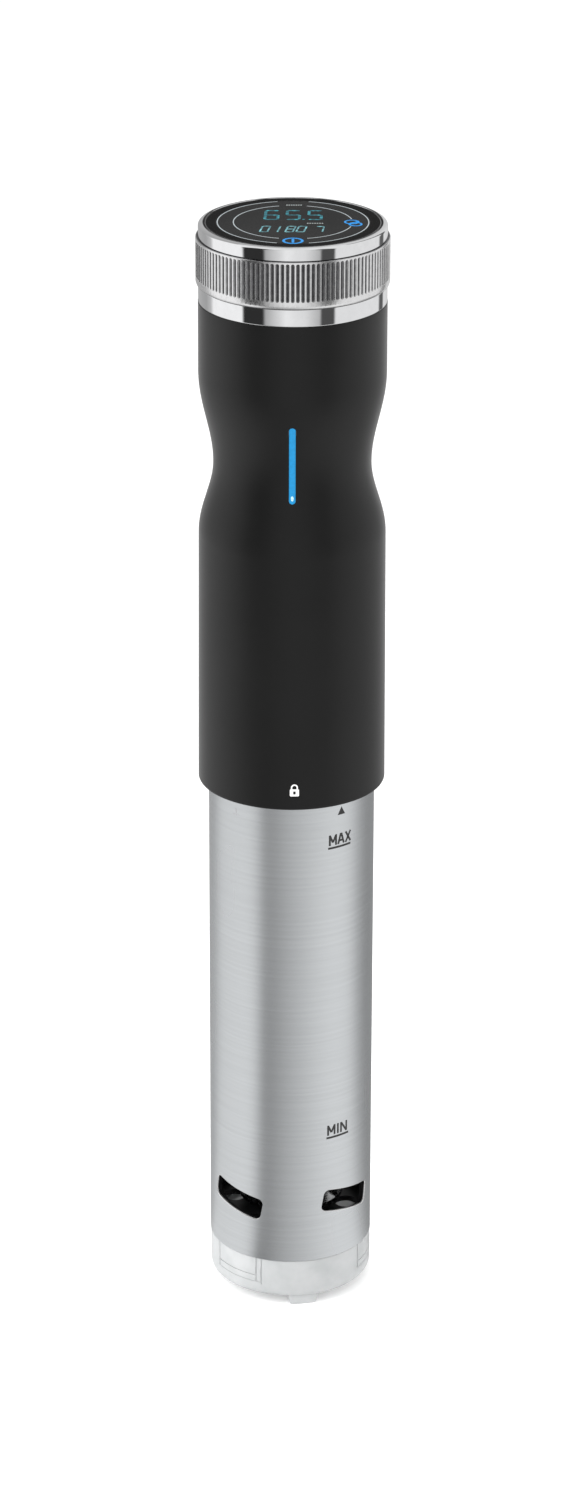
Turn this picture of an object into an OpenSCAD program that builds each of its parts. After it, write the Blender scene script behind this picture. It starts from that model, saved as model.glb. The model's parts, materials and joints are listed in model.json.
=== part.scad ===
// Immersion circulator: a motor, heater and display head on a steel tube that hangs in a pot.
// Millimetres, +Z up. The origin is on the tube's axis, in the plane that the feet stand on.
// The front, with the light bar, faces -Y. The pot clamp and the cord entry are at +Y.

/* [Overall] */
// Outer diameter of the steel tube
tube_d = 57; // [52:0.5:72]
// Length of steel tube that shows between the foot cap and the housing
tube_show = 174.7; // [150:0.1:260]
// Height of the black housing
body_h = 170.1; // [165:0.1:240]
// Height of the translucent cap, without its feet
cap_h = 14.7; // [11:0.1:20]
// Height of the feet under the cap
foot_h = 3.1; // [2:0.1:10]

/* [Housing] */
// Wall of the two shells
shell_wall = 2.6; // [2:0.1:3.4]
// Gap between the steel tube and the mouth of the housing
tube_gap = 0.9; // [0.5:0.1:2]
// How much the radius shrinks from the mouth up to the waist
body_taper = 0.45; // [0:0.05:1.5]
// How much the radius shrinks from the waist up to the chrome band
crown_taper = 0.15; // [0:0.05:0.8]
// Depth of the waist
waist_depth = 4.95; // [2:0.05:6]
// Height of the narrowest point above the mouth
waist_z = 114; // [105:0.5:125]
// Height over which the waist opens out upwards
waist_up = 32; // [24:0.5:40]
// Height over which the waist opens out downwards
waist_down = 25; // [20:0.5:30]
// Half of the gap between the front and rear shells
split_gap = 0.04; // [0.02:0.01:0.2]
// Width of the light bar
light_w = 2.3; // [1.5:0.1:4]
// Length of the light bar
light_h = 27.5; // [15:0.5:36]

/* [Head] */
// Height of the chrome band under the dial
band_h = 5.9; // [4.5:0.1:9]
// Gap between the band and the dial
dial_gap = 0.5; // [0.4:0.05:1]
// Height of the dial ring
dial_h = 15.6; // [14:0.1:20]
// How far the dial stands proud of the band
dial_proud = 0.85; // [0.4:0.05:2]
// Number of flutes round the dial
flute_count = 120; // [60:4:160]
// Depth of each flute
flute_depth = 0.5; // [0.2:0.05:0.8]
// Gap between the dial and the rim above it
rim_gap = 0.3; // [0.2:0.05:0.8]
// Height of the chrome rim round the display
rim_h = 4.2; // [3.8:0.1:6]
// Width of the chrome rim
rim_w = 2.15; // [1.6:0.05:3]
// Thickness of the display lens
lens_t = 2.2; // [1.4:0.1:2.3]
// Teeth of the ring gear inside the dial
ring_teeth = 60; // [55:5:70]
// Teeth of the pinion on the encoder
pinion_teeth = 12; // [11:1:14]
// Tooth module of both gears
gear_module = 0.9; // [0.85:0.01:0.95]

/* [Tube] */
// Wall of the steel tube
tube_wall = 0.8; // [0.5:0.1:1.2]
// Length of tube inside the housing
tube_insert = 14; // [12:0.5:18]
// Angle that each slot spans round the tube
slot_angle = 45; // [20:1:60]
// Height of each slot
slot_h = 8.6; // [5:0.1:12]
// Height of the slots' middle above the tube's lower edge
slot_z = 21.1; // [19:0.1:26]
// Rise of a slot's left end over its right end
slot_rise = 3.8; // [0:0.1:6]
// Wall of the pump liner
liner_wall = 1.8; // [1:0.1:2.6]
// Wall of the collar in the tube's upper end
collar_wall = 2.6; // [2:0.1:3]
// Turn between the unlocked and the locked tube
lock_turn = 36.7; // [32:0.1:44]
// Width of each bayonet tab, as an angle
tab_angle = 30; // [20:1:31]

/* [Drive and heater] */
// Diameter of the drive shaft
shaft_d = 5; // [4:0.5:6]
// Running clearance of shafts and pins, on the radius
run_fit = 0.06; // [0.03:0.01:0.09]
// Diameter of the motor
motor_d = 34; // [28:0.5:38]
// Height of the motor
motor_h = 40; // [34:0.5:44]
// Diameter of the impeller
impeller_d = 37; // [26:0.5:38]
// Blades of the impeller
blade_count = 6; // [4:1:8]
// Diameter of the heater's tube
heater_d = 6; // [4.5:0.1:6.4]
// Radius of the heater's coil
heater_r = 14.6; // [13.8:0.1:14.7]
// Turns of the heater's coil
heater_turns = 6; // [3:1:8]

/* [Cap] */
// Wall of the cap
cap_wall = 2.2; // [1.6:0.1:2.8]
// Width of each foot
foot_w = 10.6; // [6:0.1:14]
// Direction of the first foot, to the right of the front
foot_turn = 10; // [-20:1:20]

/* [Pot clamp] */
// Diameter of the hinge pin
pin_d = 5; // [4:0.5:6]
// Gap between the tube and the pad, where the pot's wall goes
pot_gap = 6.5; // [5:0.5:12]
// Reach of the jaw below the hinge
jaw_reach = 76; // [60:1:90]
// Width of the lever
lever_w = 24; // [20:1:28]
// Thickness of the lever
lever_t = 3; // [2.4:0.1:4]
// Diameter of the cord entry's hole
cord_hole_d = 7; // [6:0.5:8]

/* [Hidden] */
$fn = 96;

// Colours
black = "#262628";
steel = "#c9cacc";
chrome = "#e4e5e8";
frost = "#eef1f2";
board_green = "#1f5a3a";
copper = "#b87340";
white = "#f2f2f0";

// Heights of the stack
cap_z = foot_h;
tube_z = cap_z + cap_h;
body_z = tube_z + tube_show;
narrow_z = body_z + waist_z;
band_z = body_z + body_h;
dial_z = band_z + band_h + dial_gap;
rim_z = dial_z + dial_h + rim_gap;
top_z = rim_z + rim_h;
tube_top_z = body_z + tube_insert;

// Radii of the stack, from the tube outwards
tube_r = tube_d / 2;
tube_ri = tube_r - tube_wall;
mouth_r = tube_r + tube_gap;
body_r = mouth_r + shell_wall;
belt_r = body_r - body_taper;
crown_r = belt_r - crown_taper;
band_r = crown_r - 0.1;
dial_r = band_r + dial_proud;
rim_r = band_r;
lens_r = rim_r - rim_w;
slip = 0.1;

// Collar, bayonet and pump liner inside the tube
collar_r = tube_ri - slip;
collar_ri = collar_r - collar_wall;
ledge_r = collar_ri - 0.5;
hub_r = collar_ri - 4;
hub_ri = hub_r - 2.8;
tab_ri = hub_r + 0.6;
liner_r = tube_ri - slip;
liner_ri = liner_r - liner_wall;
ledge_h = 3.2;
tab_h = 3;
ledge_z = tube_top_z - 4.9;
tab_z = ledge_z + ledge_h + 0.3;
lock_ring_h = 3;
lock_z = tab_z + tab_h + 0.4;
plate_z = lock_z + lock_ring_h + 0.4;
plate_h = 3;
plate_top = plate_z + plate_h;
plate_r = inner_r(plate_z) - slip;
hub_z = ledge_z;

// Pump and drive
slot_mid = tube_z + slot_z;
slot_turns = [-43, 45.6, 137, 227];
liner_z = tube_z + 5.2;
liner_top = slot_mid + 25;
floor_z = slot_mid - slot_h / 2 - 8.4;
floor_h = 2;
impeller_r = impeller_d / 2;
impeller_z = floor_z + 6;
impeller_h = 10;
shaft_r = shaft_d / 2;
bush_r = shaft_r + 1.9;
shaft_z = floor_z + 3;
shaft_top = plate_top + 6.5;
coupling_z = plate_top + 3;
coupling_h = 8;
mount_h = 12;
motor_z = plate_top + mount_h;
motor_r = motor_d / 2;
motor_top = motor_z + motor_h;
motor_shaft_r = 1.6;
armature_r = motor_r - 5.4;
heater_rod_r = heater_d / 2;
heater_z = impeller_z + impeller_h + 20;
heater_top = hub_z - 14;
flange_h = 2;
flange_z = plate_z - flange_h;
leg_rise = 2.5;
seal_r = 0.9;
return_r = heater_r - heater_d - 0.5;
probe_turns = [90, 20, 160];
probe_ring = bush_r + 3;

// Boards inside the housing
board_z = motor_top + 5;
board_y = 9;
board_t = 1.6;
board_w = 34;
rib_h = 2.4;
head_flange_h = 3;
head_flange_z = band_z - 6.6;
board_top = head_flange_z - 8;
board_mid = narrow_z - 14;

// Screws that join the shells, and the cord entry
screw_x = body_r - 9.2;
screw_heights = [body_z + 45, band_z - 17];
screw_y = sqrt(pow(belt_r, 2) - pow(screw_x, 2));
gland_neck_r = 5.6;
gland_flange_r = 7.2;
gland_z = head_flange_z - rib_h - gland_flange_r - 0.2;

// Head
cup_r = dial_bore_r() - run_fit;
cup_wall = 1.8;
cup_ri = cup_r - cup_wall;
shelf_h = 2;
cup_z = rim_z - 8.9;
gear_h = 6;
gear_z = dial_z + 0.6;
ring_pitch_r = ring_teeth * gear_module / 2;
pinion_pitch_r = pinion_teeth * gear_module / 2;
gear_centre = ring_pitch_r - pinion_pitch_r;
gear_seat_r = dial_bore_r();
neck_r = ring_pitch_r - gear_module - 0.7;
neck_wall = 2;
lens_z = top_z - 0.1 - lens_t;
display_z = cup_z + shelf_h;
touch_ring = cup_ri - 5;
encoder_w = 11;
encoder_z = head_flange_z + head_flange_h;
encoder_h = gear_z - encoder_z - 2;

// Cap and feet
cap_r = tube_r - 0.2;
cap_ri = cap_r - cap_wall;
spigot_r = tube_ri - 0.2;
spigot_ri = liner_ri + 0.15;
spigot_h = 3.6;
clip_t = 1.2;
clip_r = spigot_ri - 0.35;
foot_count = 3;
edge_r = 2.4;

// Pot clamp
pad_t = 3;
lever_y = tube_r + pot_gap + pad_t;
pin_r = pin_d / 2;
pin_y = lever_y + 5;
pin_z = body_z + 42;
barrel_r = pin_r + 3;
ear_t = 4;
ear_x = lever_w / 2 + 0.4;
bracket_y = max(body_r + 3.6, lever_y - 2.4);
bracket_w = 2 * (ear_x + ear_t);
bracket_low = pin_z - 28;
bracket_high = pin_z + 24;
bracket_screw_heights = [plate_top + rib_h + 4, bracket_high - 5];
thumb_rise = 38;
thumb_out = 13;
spring_wire = 0.8;
spring_r = pin_r + 1.9;

// Openings cut from bodies overlap their faces by this much
over = 0.5;

// Turns children from the front to a direction, in degrees to the right of the front
module toward(angle) {
    rotate([0, 0, angle]) children();
}

// Plain ring
module ring(r_out, r_in, z, h) {
    translate([0, 0, z]) difference() {
        cylinder(r = r_out, h = h);
        translate([0, 0, -over]) cylinder(r = r_in, h = h + 2 * over);
    }
}

// Part of a ring, centred on the front, spanning an angle of less than 180 degrees
module ring_arc(r_out, r_in, z, h, angle) {
    reach = r_out * 2;
    half = angle / 2;
    intersection() {
        ring(r_out, r_in, z, h);
        translate([0, 0, z - over]) linear_extrude(h + 2 * over)
            polygon([[0, 0], [-reach * sin(half), -reach * cos(half)],
                [0, -reach * 1.5], [reach * sin(half), -reach * cos(half)]]);
    }
}

// Cylinder along +Y from a point
module y_rod(x, y, z, r, length) {
    translate([x, y, z]) rotate([-90, 0, 0]) cylinder(r = r, h = length);
}

// Cylinder along X, centred on x = 0
module x_rod(y, z, r, length) {
    translate([-length / 2, y, z]) rotate([0, 90, 0]) cylinder(r = r, h = length);
}

// Round wire that follows points, as one closed polyhedron
module wire(path, r, sides = 8) {
    count = len(path);
    function heading(i) = let(d = path[min(i + 1, count - 1)] - path[max(i - 1, 0)]) d / norm(d);
    // the side direction is carried along the path, so that the wire never twists
    function across(u, t) = let(s = u - (u * t) * t) s / norm(s);
    side_at = [for (i = 0, u = across([0.36, 0.48, 0.8], heading(0)); i < count;
        i = i + 1, u = across(u, heading(min(i, count - 1)))) u];
    points = [for (i = [0:count - 1], k = [0:sides - 1])
        let(t = heading(i), u = side_at[i], v = cross(t, u), a = 360 * k / sides)
        path[i] + r * (u * cos(a) + v * sin(a))];
    walls = [for (i = [0:count - 2], k = [0:sides - 1]) let(n = (k + 1) % sides)
        [i * sides + k, i * sides + n, (i + 1) * sides + n, (i + 1) * sides + k]];
    caps = [[for (k = [0:sides - 1]) sides - 1 - k],
        [for (k = [0:sides - 1]) (count - 1) * sides + k]];
    polyhedron(points = points, faces = concat(walls, caps), convexity = 10);
}

// Outer radius of the housing at a height
function waist_cut(z) = let(t = (z - narrow_z) / (z > narrow_z ? waist_up : waist_down))
    abs(t) >= 1 ? 0 : waist_depth * (1 + cos(180 * t)) / 2;
function plain_r(z) = let(belt_z = narrow_z - waist_down)
    z < belt_z ? body_r + (belt_r - body_r) * (z - body_z) / (belt_z - body_z)
               : belt_r + (crown_r - belt_r) * (z - belt_z) / (band_z - belt_z);
function outer_r(z) = plain_r(z) - waist_cut(z);
function inner_r(z) = outer_r(z) - shell_wall;
function dial_bore_r() = lens_r + 0.05;

// Outline of the housing's wall, moved inwards by an inset on its outer side
module shell_outline(inset = 0) {
    chamfer = 0.6;
    steps = 12;
    low = narrow_z - waist_down;
    high = narrow_z + waist_up;
    heights = concat([for (i = [0:steps]) low + (high - low) * i / steps]);
    polygon(concat(
        [[outer_r(body_z) - chamfer - inset, body_z], [outer_r(body_z) - inset, body_z + chamfer]],
        [for (z = heights) [outer_r(z) - inset, z]],
        [[outer_r(band_z) - inset, band_z], [inner_r(band_z), band_z]],
        [for (i = [len(heights) - 1:-1:0]) [inner_r(heights[i]), heights[i]]],
        [[inner_r(body_z), body_z]]));
}

module shell_ring() {
    rotate_extrude() shell_outline();
    // rib above the base plate, and the rib that carries the head frame
    ring(inner_r(plate_top) + over, inner_r(plate_top) - 2, plate_top, rib_h);
    ring(inner_r(head_flange_z) + over, inner_r(head_flange_z) - 3.4, head_flange_z - rib_h, rib_h);
}

// Half of space in front of or behind the split, side is -1 for the front
module half_space(side) {
    size = 4 * body_r;
    translate([-size / 2, side > 0 ? split_gap : -size - split_gap, body_z - over])
        cube([size, size, body_h + 2 * over]);
}

module shell_half(side) {
    boss_r = 3.1;
    difference() {
        union() {
            intersection() {
                shell_ring();
                half_space(side);
            }
            for (z = screw_heights, x = [-screw_x, screw_x]) intersection() {
                if (side > 0) {
                    y_rod(x, split_gap, z, boss_r, screw_y);
                } else {
                    y_rod(x, -split_gap - screw_y, z, boss_r, screw_y);
                }
                cylinder(r = belt_r - 1, h = band_z);
            }
        }
        children();
    }
}

module front_shell() {
    color(black) shell_half(-1) {
        for (z = screw_heights, x = [-screw_x, screw_x]) y_rod(x, -12, z, 1.1, 13);
        head_screw_places() translate([0, 0, head_flange_z - rib_h]) cylinder(r = 0.9, h = rib_h + over);
        light_slot(light_w, light_h, over);
    }
}

module rear_shell() {
    color(black) shell_half(1) {
        for (z = screw_heights, x = [-screw_x, screw_x]) {
            y_rod(x, -1, z, 1.3, screw_y + 2);
            y_rod(x, screw_y - 5, z, 2.6, 12);
        }
        y_rod(0, 15, gland_z, gland_neck_r, 30);
        for (z = bracket_screw_heights) y_rod(0, 15, z, 1.55, 30);
        head_screw_places() translate([0, 0, head_flange_z - rib_h]) cylinder(r = 0.9, h = rib_h + over);
    }
}

module shell_screws() {
    color(steel) for (z = screw_heights, x = [-screw_x, screw_x]) {
        y_rod(x, -11, z, 1.1, screw_y + 6.2);
        difference() {
            y_rod(x, screw_y - 5, z, 2.3, 1.9);
            y_rod(x, screw_y - 4.1, z, 0.8, 2);
        }
    }
}

// Upright slot with round ends, cut through the front wall
module light_slot(w, h, reach) {
    z = narrow_z - 6.2 + (w - light_w) / 2;
    r = w / 2;
    y = -body_r - reach;
    depth = body_r - belt_r + waist_depth + 4.2 + reach;
    translate([-r, y, z + r - (w - light_w)]) cube([w, depth, h - w + (w - light_w)]);
    y_rod(0, y, z + r - (w - light_w), r, depth);
    y_rod(0, y, z + h - r, r, depth);
}

module light_guide() {
    fit = 0.05;
    guide_y = -outer_r(narrow_z) + 4;
    color("#2aa3e0") {
        intersection() {
            light_slot(light_w - 2 * fit, light_h - 2 * fit, over);
            rotate_extrude() polygon(concat(
                [for (i = [0:10]) let(z = narrow_z - 8 + 40 * i / 10) [outer_r(z) - 0.02, z]],
                [[6, narrow_z + 32], [6, narrow_z - 8]]));
            translate([-10, -body_r - 1, body_z]) cube([20, body_r + 1 + guide_y, body_h]);
        }
    }
}

module light_board() {
    color(board_green) {
        translate([-4, -outer_r(narrow_z) + 4.2, narrow_z - 8]) cube([8, 1.2, 34]);
        for (i = [0:4]) translate([-1, -outer_r(narrow_z) + 5.4, narrow_z - 3 + 6 * i]) cube([2, 0.8, 2]);
    }
}

module main_board() {
    color(board_green) difference() {
        translate([-board_w / 2, board_y, board_z]) cube([board_w, board_t, board_top - board_z]);
        for (x = [-13.5, 13.5], z = [board_z + 4, board_top - 4]) y_rod(x, board_y - 1, z, 1.5, 4);
    }
}

module board_capacitor() {
    color("#30343c") translate([-8, board_y - 8, board_z + 4]) {
        cylinder(r = 7.9, h = 28);
        translate([0, 0, 28]) cylinder(r = 7, h = 1);
    }
}

module power_relay() {
    color("#3a6ea8") translate([2, board_y - 15, board_z + 5]) cube([12, 15, 20]);
}

module board_transformer() {
    z = board_top - 24;
    color("#d9b64a") {
        translate([-11, board_y - 16, z]) cube([22, 16, 4]);
        translate([-11, board_y - 16, z + 14]) cube([22, 16, 4]);
        translate([-9, board_y - 14, z + 4]) cube([18, 12, 10]);
    }
}

module heat_sink() {
    fin_count = 5;
    color(steel) {
        translate([-10, board_y + board_t, board_z + 3]) cube([20, 1.6, 24]);
        for (i = [0:fin_count - 1]) translate([-10 + 18.6 * i / (fin_count - 1), board_y + board_t + 1.6, board_z + 3])
            cube([1.4, 7, 24]);
    }
}

module motor_mount() {
    r = motor_r + 1.5;
    color("#3a3a3c") difference() {
        union() {
            ring(r, motor_r - 3, plate_top, mount_h);
            ring(r, motor_r + 0.05, plate_top + mount_h - over, 5 + over);
        }
        for (a = [45:90:315]) toward(a) translate([-6, -r - 1, plate_top + 2]) cube([12, r, mount_h - 4]);
        translate([heater_r, 0, plate_top - over]) cylinder(r = heater_rod_r + 0.5, h = leg_rise + 2);
    }
}

module motor_can() {
    color("#8d9094") {
        difference() {
            translate([0, 0, motor_z]) cylinder(r = motor_r, h = motor_h);
            translate([0, 0, motor_z + 1.2]) cylinder(r = motor_r - 1.2, h = motor_h - 2.4);
            translate([0, 0, motor_z - over]) cylinder(r = 4, h = motor_h + 2 * over);
        }
    }
}

module motor_magnets() {
    color("#4a4a4e") for (a = [90, 270]) toward(a)
        ring_arc(motor_r - 1.25, motor_r - 4.8, motor_z + 5, motor_h - 12, 130);
}

module motor_bearings() {
    color(copper) for (z = [motor_z, motor_top - 3]) ring(4, motor_shaft_r + run_fit, z, 3);
}

module motor_armature() {
    color("#a9642f") {
        translate([0, 0, motor_z + 6]) cylinder(r = armature_r, h = motor_h - 14);
        translate([0, 0, motor_z + motor_h - 8]) cylinder(r = 5.5, h = 4);
        translate([0, 0, coupling_z + 4.5]) cylinder(r = motor_shaft_r, h = motor_top - coupling_z - 3);
    }
}

module shaft_coupling() {
    color("#b9bcc0") difference() {
        translate([0, 0, coupling_z]) cylinder(r = 6, h = coupling_h);
        translate([0, 0, coupling_z - over]) cylinder(r = shaft_r, h = shaft_top - coupling_z + over);
        translate([0, 0, coupling_z + 4.5]) cylinder(r = motor_shaft_r, h = coupling_h);
        translate([-0.6, -7, shaft_top + 0.2]) cube([1.2, 6, coupling_h]);
    }
}

module drive_shaft() {
    color(steel) translate([0, 0, shaft_z]) cylinder(r = shaft_r, h = shaft_top - shaft_z);
}

module pump_impeller() {
    hub = shaft_r + 3;
    color("#dfe3e6") {
        difference() {
            union() {
                translate([0, 0, impeller_z]) cylinder(r = hub, h = impeller_h);
                translate([0, 0, impeller_z]) cylinder(r = impeller_r, h = 1.4);
                for (a = [0:360 / blade_count:359]) toward(a) blade(hub);
            }
            translate([0, 0, impeller_z - over]) cylinder(r = shaft_r, h = impeller_h + 2 * over);
        }
    }
}

// One blade, curved backwards as an arc that leaves the hub and ends at the disc's edge
module blade(hub) {
    reach = impeller_r - hub;
    arc_r = reach * 0.85;
    intersection() {
        translate([arc_r * 0.75, -hub - reach * 0.42, impeller_z + 0.7]) ring(arc_r, arc_r - 1.3, 0, impeller_h - 0.7);
        translate([0, 0, impeller_z]) cylinder(r = impeller_r - 0.2, h = impeller_h);
        translate([-impeller_r, -impeller_r, impeller_z]) cube([impeller_r * 1.15, impeller_r - hub + 1, impeller_h]);
    }
}

module impeller_nut() {
    color(steel) translate([0, 0, shaft_z + 0.4]) difference() {
        cylinder(r = shaft_r + 2.2, h = impeller_z - shaft_z - 0.4, $fn = 6);
        translate([0, 0, -over]) cylinder(r = shaft_r, h = 10);
    }
}

module base_plate() {
    color(black) difference() {
        translate([0, 0, plate_z]) cylinder(r = plate_r, h = plate_h);
        ring(plate_r + over, plate_r - 2 * seal_r - 0.1, plate_z + plate_h / 2 - seal_r - 0.05, 2 * seal_r + 0.1);
        translate([0, 0, plate_z - over]) cylinder(r = bush_r, h = plate_h + 2 * over);
        for (x = [-return_r, heater_r]) translate([x, 0, plate_z - over])
            cylinder(r = heater_rod_r + 0.1, h = plate_h + 2 * over);
        probe_places() translate([0, 0, plate_z - over]) cylinder(r = 2.1, h = plate_h + 2 * over);
        base_screw_places() translate([0, 0, plate_z - over]) cylinder(r = 0.9, h = plate_h + 2 * over);
    }
}

// Places of the probes round the shaft, the first for the temperature probe
module probe_places(which = [0, 1, 2]) {
    for (i = which) toward(probe_turns[i]) translate([0, -probe_ring, 0]) children();
}

module base_screw_places() {
    for (a = [60, 180, 300]) toward(a) translate([0, -(hub_r + hub_ri) / 2, 0]) children();
}

module bayonet_ring() {
    color(steel) difference() {
        union() {
            ring(hub_r, hub_ri, hub_z, plate_z - hub_z);
            for (a = [0, 120, 240]) toward(a) ring_arc(ledge_r, hub_r - 0.2, ledge_z, ledge_h, tab_angle);
        }
        base_screw_places() {
            translate([0, 0, hub_z - over]) cylinder(r = 0.9, h = plate_z - hub_z + 2 * over);
            translate([0, 0, hub_z - over]) cylinder(r = 1.2, h = 1.6 + over);
        }
    }
}

module base_screws() {
    color(steel) base_screw_places() {
        translate([0, 0, hub_z + 0.3]) cylinder(r = 1.15, h = 1.2);
        translate([0, 0, hub_z + 1.5]) cylinder(r = 0.85, h = plate_top - hub_z - 2);
    }
}

module seal_ring() {
    color("#2b2b2b") translate([0, 0, plate_z + plate_h / 2]) rotate_extrude()
        translate([plate_r - seal_r + 0.05, 0]) circle(r = seal_r);
}

module heater_flange() {
    color(steel) difference() {
        translate([0, 0, flange_z]) cylinder(r = hub_ri - 0.1, h = flange_h);
        translate([0, 0, flange_z - over]) cylinder(r = bush_r, h = flange_h + 2 * over);
        for (x = [-return_r, heater_r]) translate([x, 0, flange_z - over])
            cylinder(r = heater_rod_r + 0.1, h = flange_h + 2 * over);
        probe_places() translate([0, 0, flange_z - over]) cylinder(r = 2.1, h = flange_h + 2 * over);
    }
}

// Point at a radius, an arc length round the axis from +X, and a height
function wound(r, arc, z) = let(a = arc / heater_r * 180 / PI) [r * cos(a), r * sin(a), z];

// The coil winds down from the first leg, then turns up inside itself into the second
module heater_coil() {
    per_turn = 16;
    bend = 7;
    leg_top = plate_top + leg_rise;
    turn_length = 2 * PI * heater_r;
    winding = turn_length * (heater_turns + 0.5) - 2 * bend;
    steps = per_turn * heater_turns;
    down = [for (a = [0:18:72]) wound(heater_r, bend * (1 - cos(a)), heater_top + bend - bend * sin(a))];
    coil = [for (i = [0:steps]) wound(heater_r, bend + winding * i / steps,
        heater_top + (heater_z - heater_top) * i / steps)];
    up = [for (a = [18:18:90]) let(t = a / 90)
        wound(heater_r + (return_r - heater_r) * t * t * (3 - 2 * t), bend + winding + bend * sin(a),
            heater_z + bend * (1 - cos(a)))];
    color("#b4b7ba") wire(concat([[heater_r, 0, leg_top]], down, coil, up,
        [[-return_r, 0, heater_z + bend + 8], [-return_r, 0, leg_top]]), heater_rod_r, 10);
}

module temperature_probe() {
    low = heater_z + 26;
    color(steel) probe_places([0]) {
        translate([0, 0, low]) cylinder(r = 2, h = plate_top + leg_rise - low);
        translate([0, 0, low]) sphere(r = 2);
    }
}

module level_probes() {
    top = plate_top + leg_rise;
    lows = [heater_z + 4, heater_z + 70];
    color(steel) for (i = [0, 1]) probe_places([i + 1])
        translate([0, 0, lows[i]]) cylinder(r = 1.6, h = top - lows[i]);
}

module shaft_bush() {
    color(copper) ring(bush_r, shaft_r + run_fit, flange_z - 1, plate_top - flange_z - 0.5);
}

module shaft_seal() {
    color("#3b2f2a") ring(bush_r - 0.6, shaft_r + run_fit, plate_top - 1.5, 3.5);
}

module cord_gland() {
    y = outer_r(gland_z);
    color("#1d1d1f") difference() {
        union() {
            y_rod(0, y - shell_wall - 3, gland_z, gland_neck_r - 0.05, shell_wall + 7);
            y_rod(0, y + 0.15, gland_z, gland_flange_r, 2.6);
            y_rod(0, y - shell_wall - 3.2, gland_z, gland_flange_r - 0.6, 2.1);
        }
        y_rod(0, y - shell_wall - 5, gland_z, cord_hole_d / 2, shell_wall + 14);
    }
}

module lower_band() {
    color(chrome) rotate_extrude() polygon([[inner_r(band_z), band_z], [band_r, band_z],
        [band_r, band_z + band_h - 0.3], [band_r - 0.3, band_z + band_h], [inner_r(band_z), band_z + band_h]]);
}

module head_frame() {
    flange_r = inner_r(head_flange_z) - slip;
    color("#1f1f21") difference() {
        union() {
            ring(flange_r, neck_r - neck_wall, head_flange_z, head_flange_h);
            ring(neck_r, neck_r - neck_wall, head_flange_z, cup_z - head_flange_z + over);
            ring(cup_r, neck_r - 5, cup_z, shelf_h);
            ring(cup_r, cup_ri, cup_z, rim_z - cup_z);
        }
        // window for the encoder and its pinion
        translate([-encoder_w / 2 - 0.6, gear_centre - encoder_w / 2 - 0.6, encoder_z])
            cube([encoder_w + 1.2, encoder_w + 8, cup_z - encoder_z - 0.05]);
        head_screw_places() translate([0, 0, head_flange_z - over]) cylinder(r = 0.9, h = head_flange_h + 2 * over);
    }
}

module head_screw_places() {
    for (a = [35, 145, 215, 325]) toward(a) translate([0, -(inner_r(head_flange_z) - 1.7), 0]) children();
}

module head_screws() {
    color(steel) head_screw_places() {
        translate([0, 0, head_flange_z + head_flange_h]) cylinder(r = 1.5, h = 1.4);
        translate([0, 0, head_flange_z - rib_h + 0.4]) cylinder(r = 0.85, h = head_flange_h + rib_h - 0.3);
    }
}

module dial_washer() {
    color(black) ring(band_r - 0.35, lens_r + 0.4, band_z + band_h, dial_gap - 0.06);
}

// Ring with shallow upright flutes between plain edges
module dial_ring() {
    edge = 0.9;
    low_edge = 2.3;
    points_per_flute = 4;
    count = flute_count * points_per_flute;
    shape = [0, 0.75, 1, 0.75];
    color(chrome) difference() {
        union() {
            translate([0, 0, dial_z + low_edge]) linear_extrude(dial_h - edge - low_edge)
                polygon([for (i = [0:count - 1])
                    let(r = dial_r - flute_depth * shape[i % points_per_flute], a = 360 * i / count)
                    [r * sin(a), -r * cos(a)]]);
            rotate_extrude() polygon([[dial_bore_r(), dial_z], [dial_r - 0.9, dial_z],
                [dial_r - 0.1, dial_z + 0.8], [dial_r - 0.1, dial_z + low_edge], [dial_bore_r(), dial_z + low_edge]]);
            rotate_extrude() polygon([[dial_bore_r(), dial_z + dial_h - edge], [dial_r - 0.1, dial_z + dial_h - edge],
                [dial_r - 0.9, dial_z + dial_h], [dial_bore_r(), dial_z + dial_h]]);
        }
        translate([0, 0, dial_z - over]) cylinder(r = dial_bore_r(), h = dial_h + 2 * over);
    }
}

// Involute gear outline: pitch radius r, with addendum and dedendum and the flanks thinned
function involute(base, a) = base * [cos(a) + a * PI / 180 * sin(a), sin(a) - a * PI / 180 * cos(a)];
function turned(p, a) = [p[0] * cos(a) - p[1] * sin(a), p[0] * sin(a) + p[1] * cos(a)];
module gear_outline(teeth, addendum, dedendum, backlash) {
    r = teeth * gear_module / 2;
    pressure = 20;
    base = r * cos(pressure);
    low = max(r - dedendum, base);
    roll_low = sqrt(max(0, pow(low / base, 2) - 1)) * 180 / PI;
    roll_high = sqrt(pow((r + addendum) / base, 2) - 1) * 180 / PI;
    pitch_roll = sqrt(pow(r / base, 2) - 1);
    half_tooth = 90 / teeth + (pitch_roll * 180 / PI - atan(pitch_roll)) - backlash / r * 90 / PI;
    steps = 5;
    flank = [for (i = [0:steps]) turned(involute(base, roll_low + (roll_high - roll_low) * i / steps), -half_tooth)];
    root = [[(r - dedendum) * cos(half_tooth), -(r - dedendum) * sin(half_tooth)]];
    half_side = r - dedendum < base ? concat(root, flank) : flank;
    count = len(half_side);
    tooth = concat(half_side, [for (i = [count - 1:-1:0]) [half_side[i][0], -half_side[i][1]]]);
    polygon([for (k = [0:teeth - 1], p = tooth) turned(p, 90 + 360 * k / teeth)]);
}

module dial_gear() {
    color("#34343a") difference() {
        translate([0, 0, gear_z]) cylinder(r = gear_seat_r, h = gear_h);
        translate([0, 0, gear_z - over]) linear_extrude(gear_h + 2 * over)
            gear_outline(ring_teeth, gear_module * 1.15, gear_module * 0.75, -0.12);
    }
}

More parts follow.
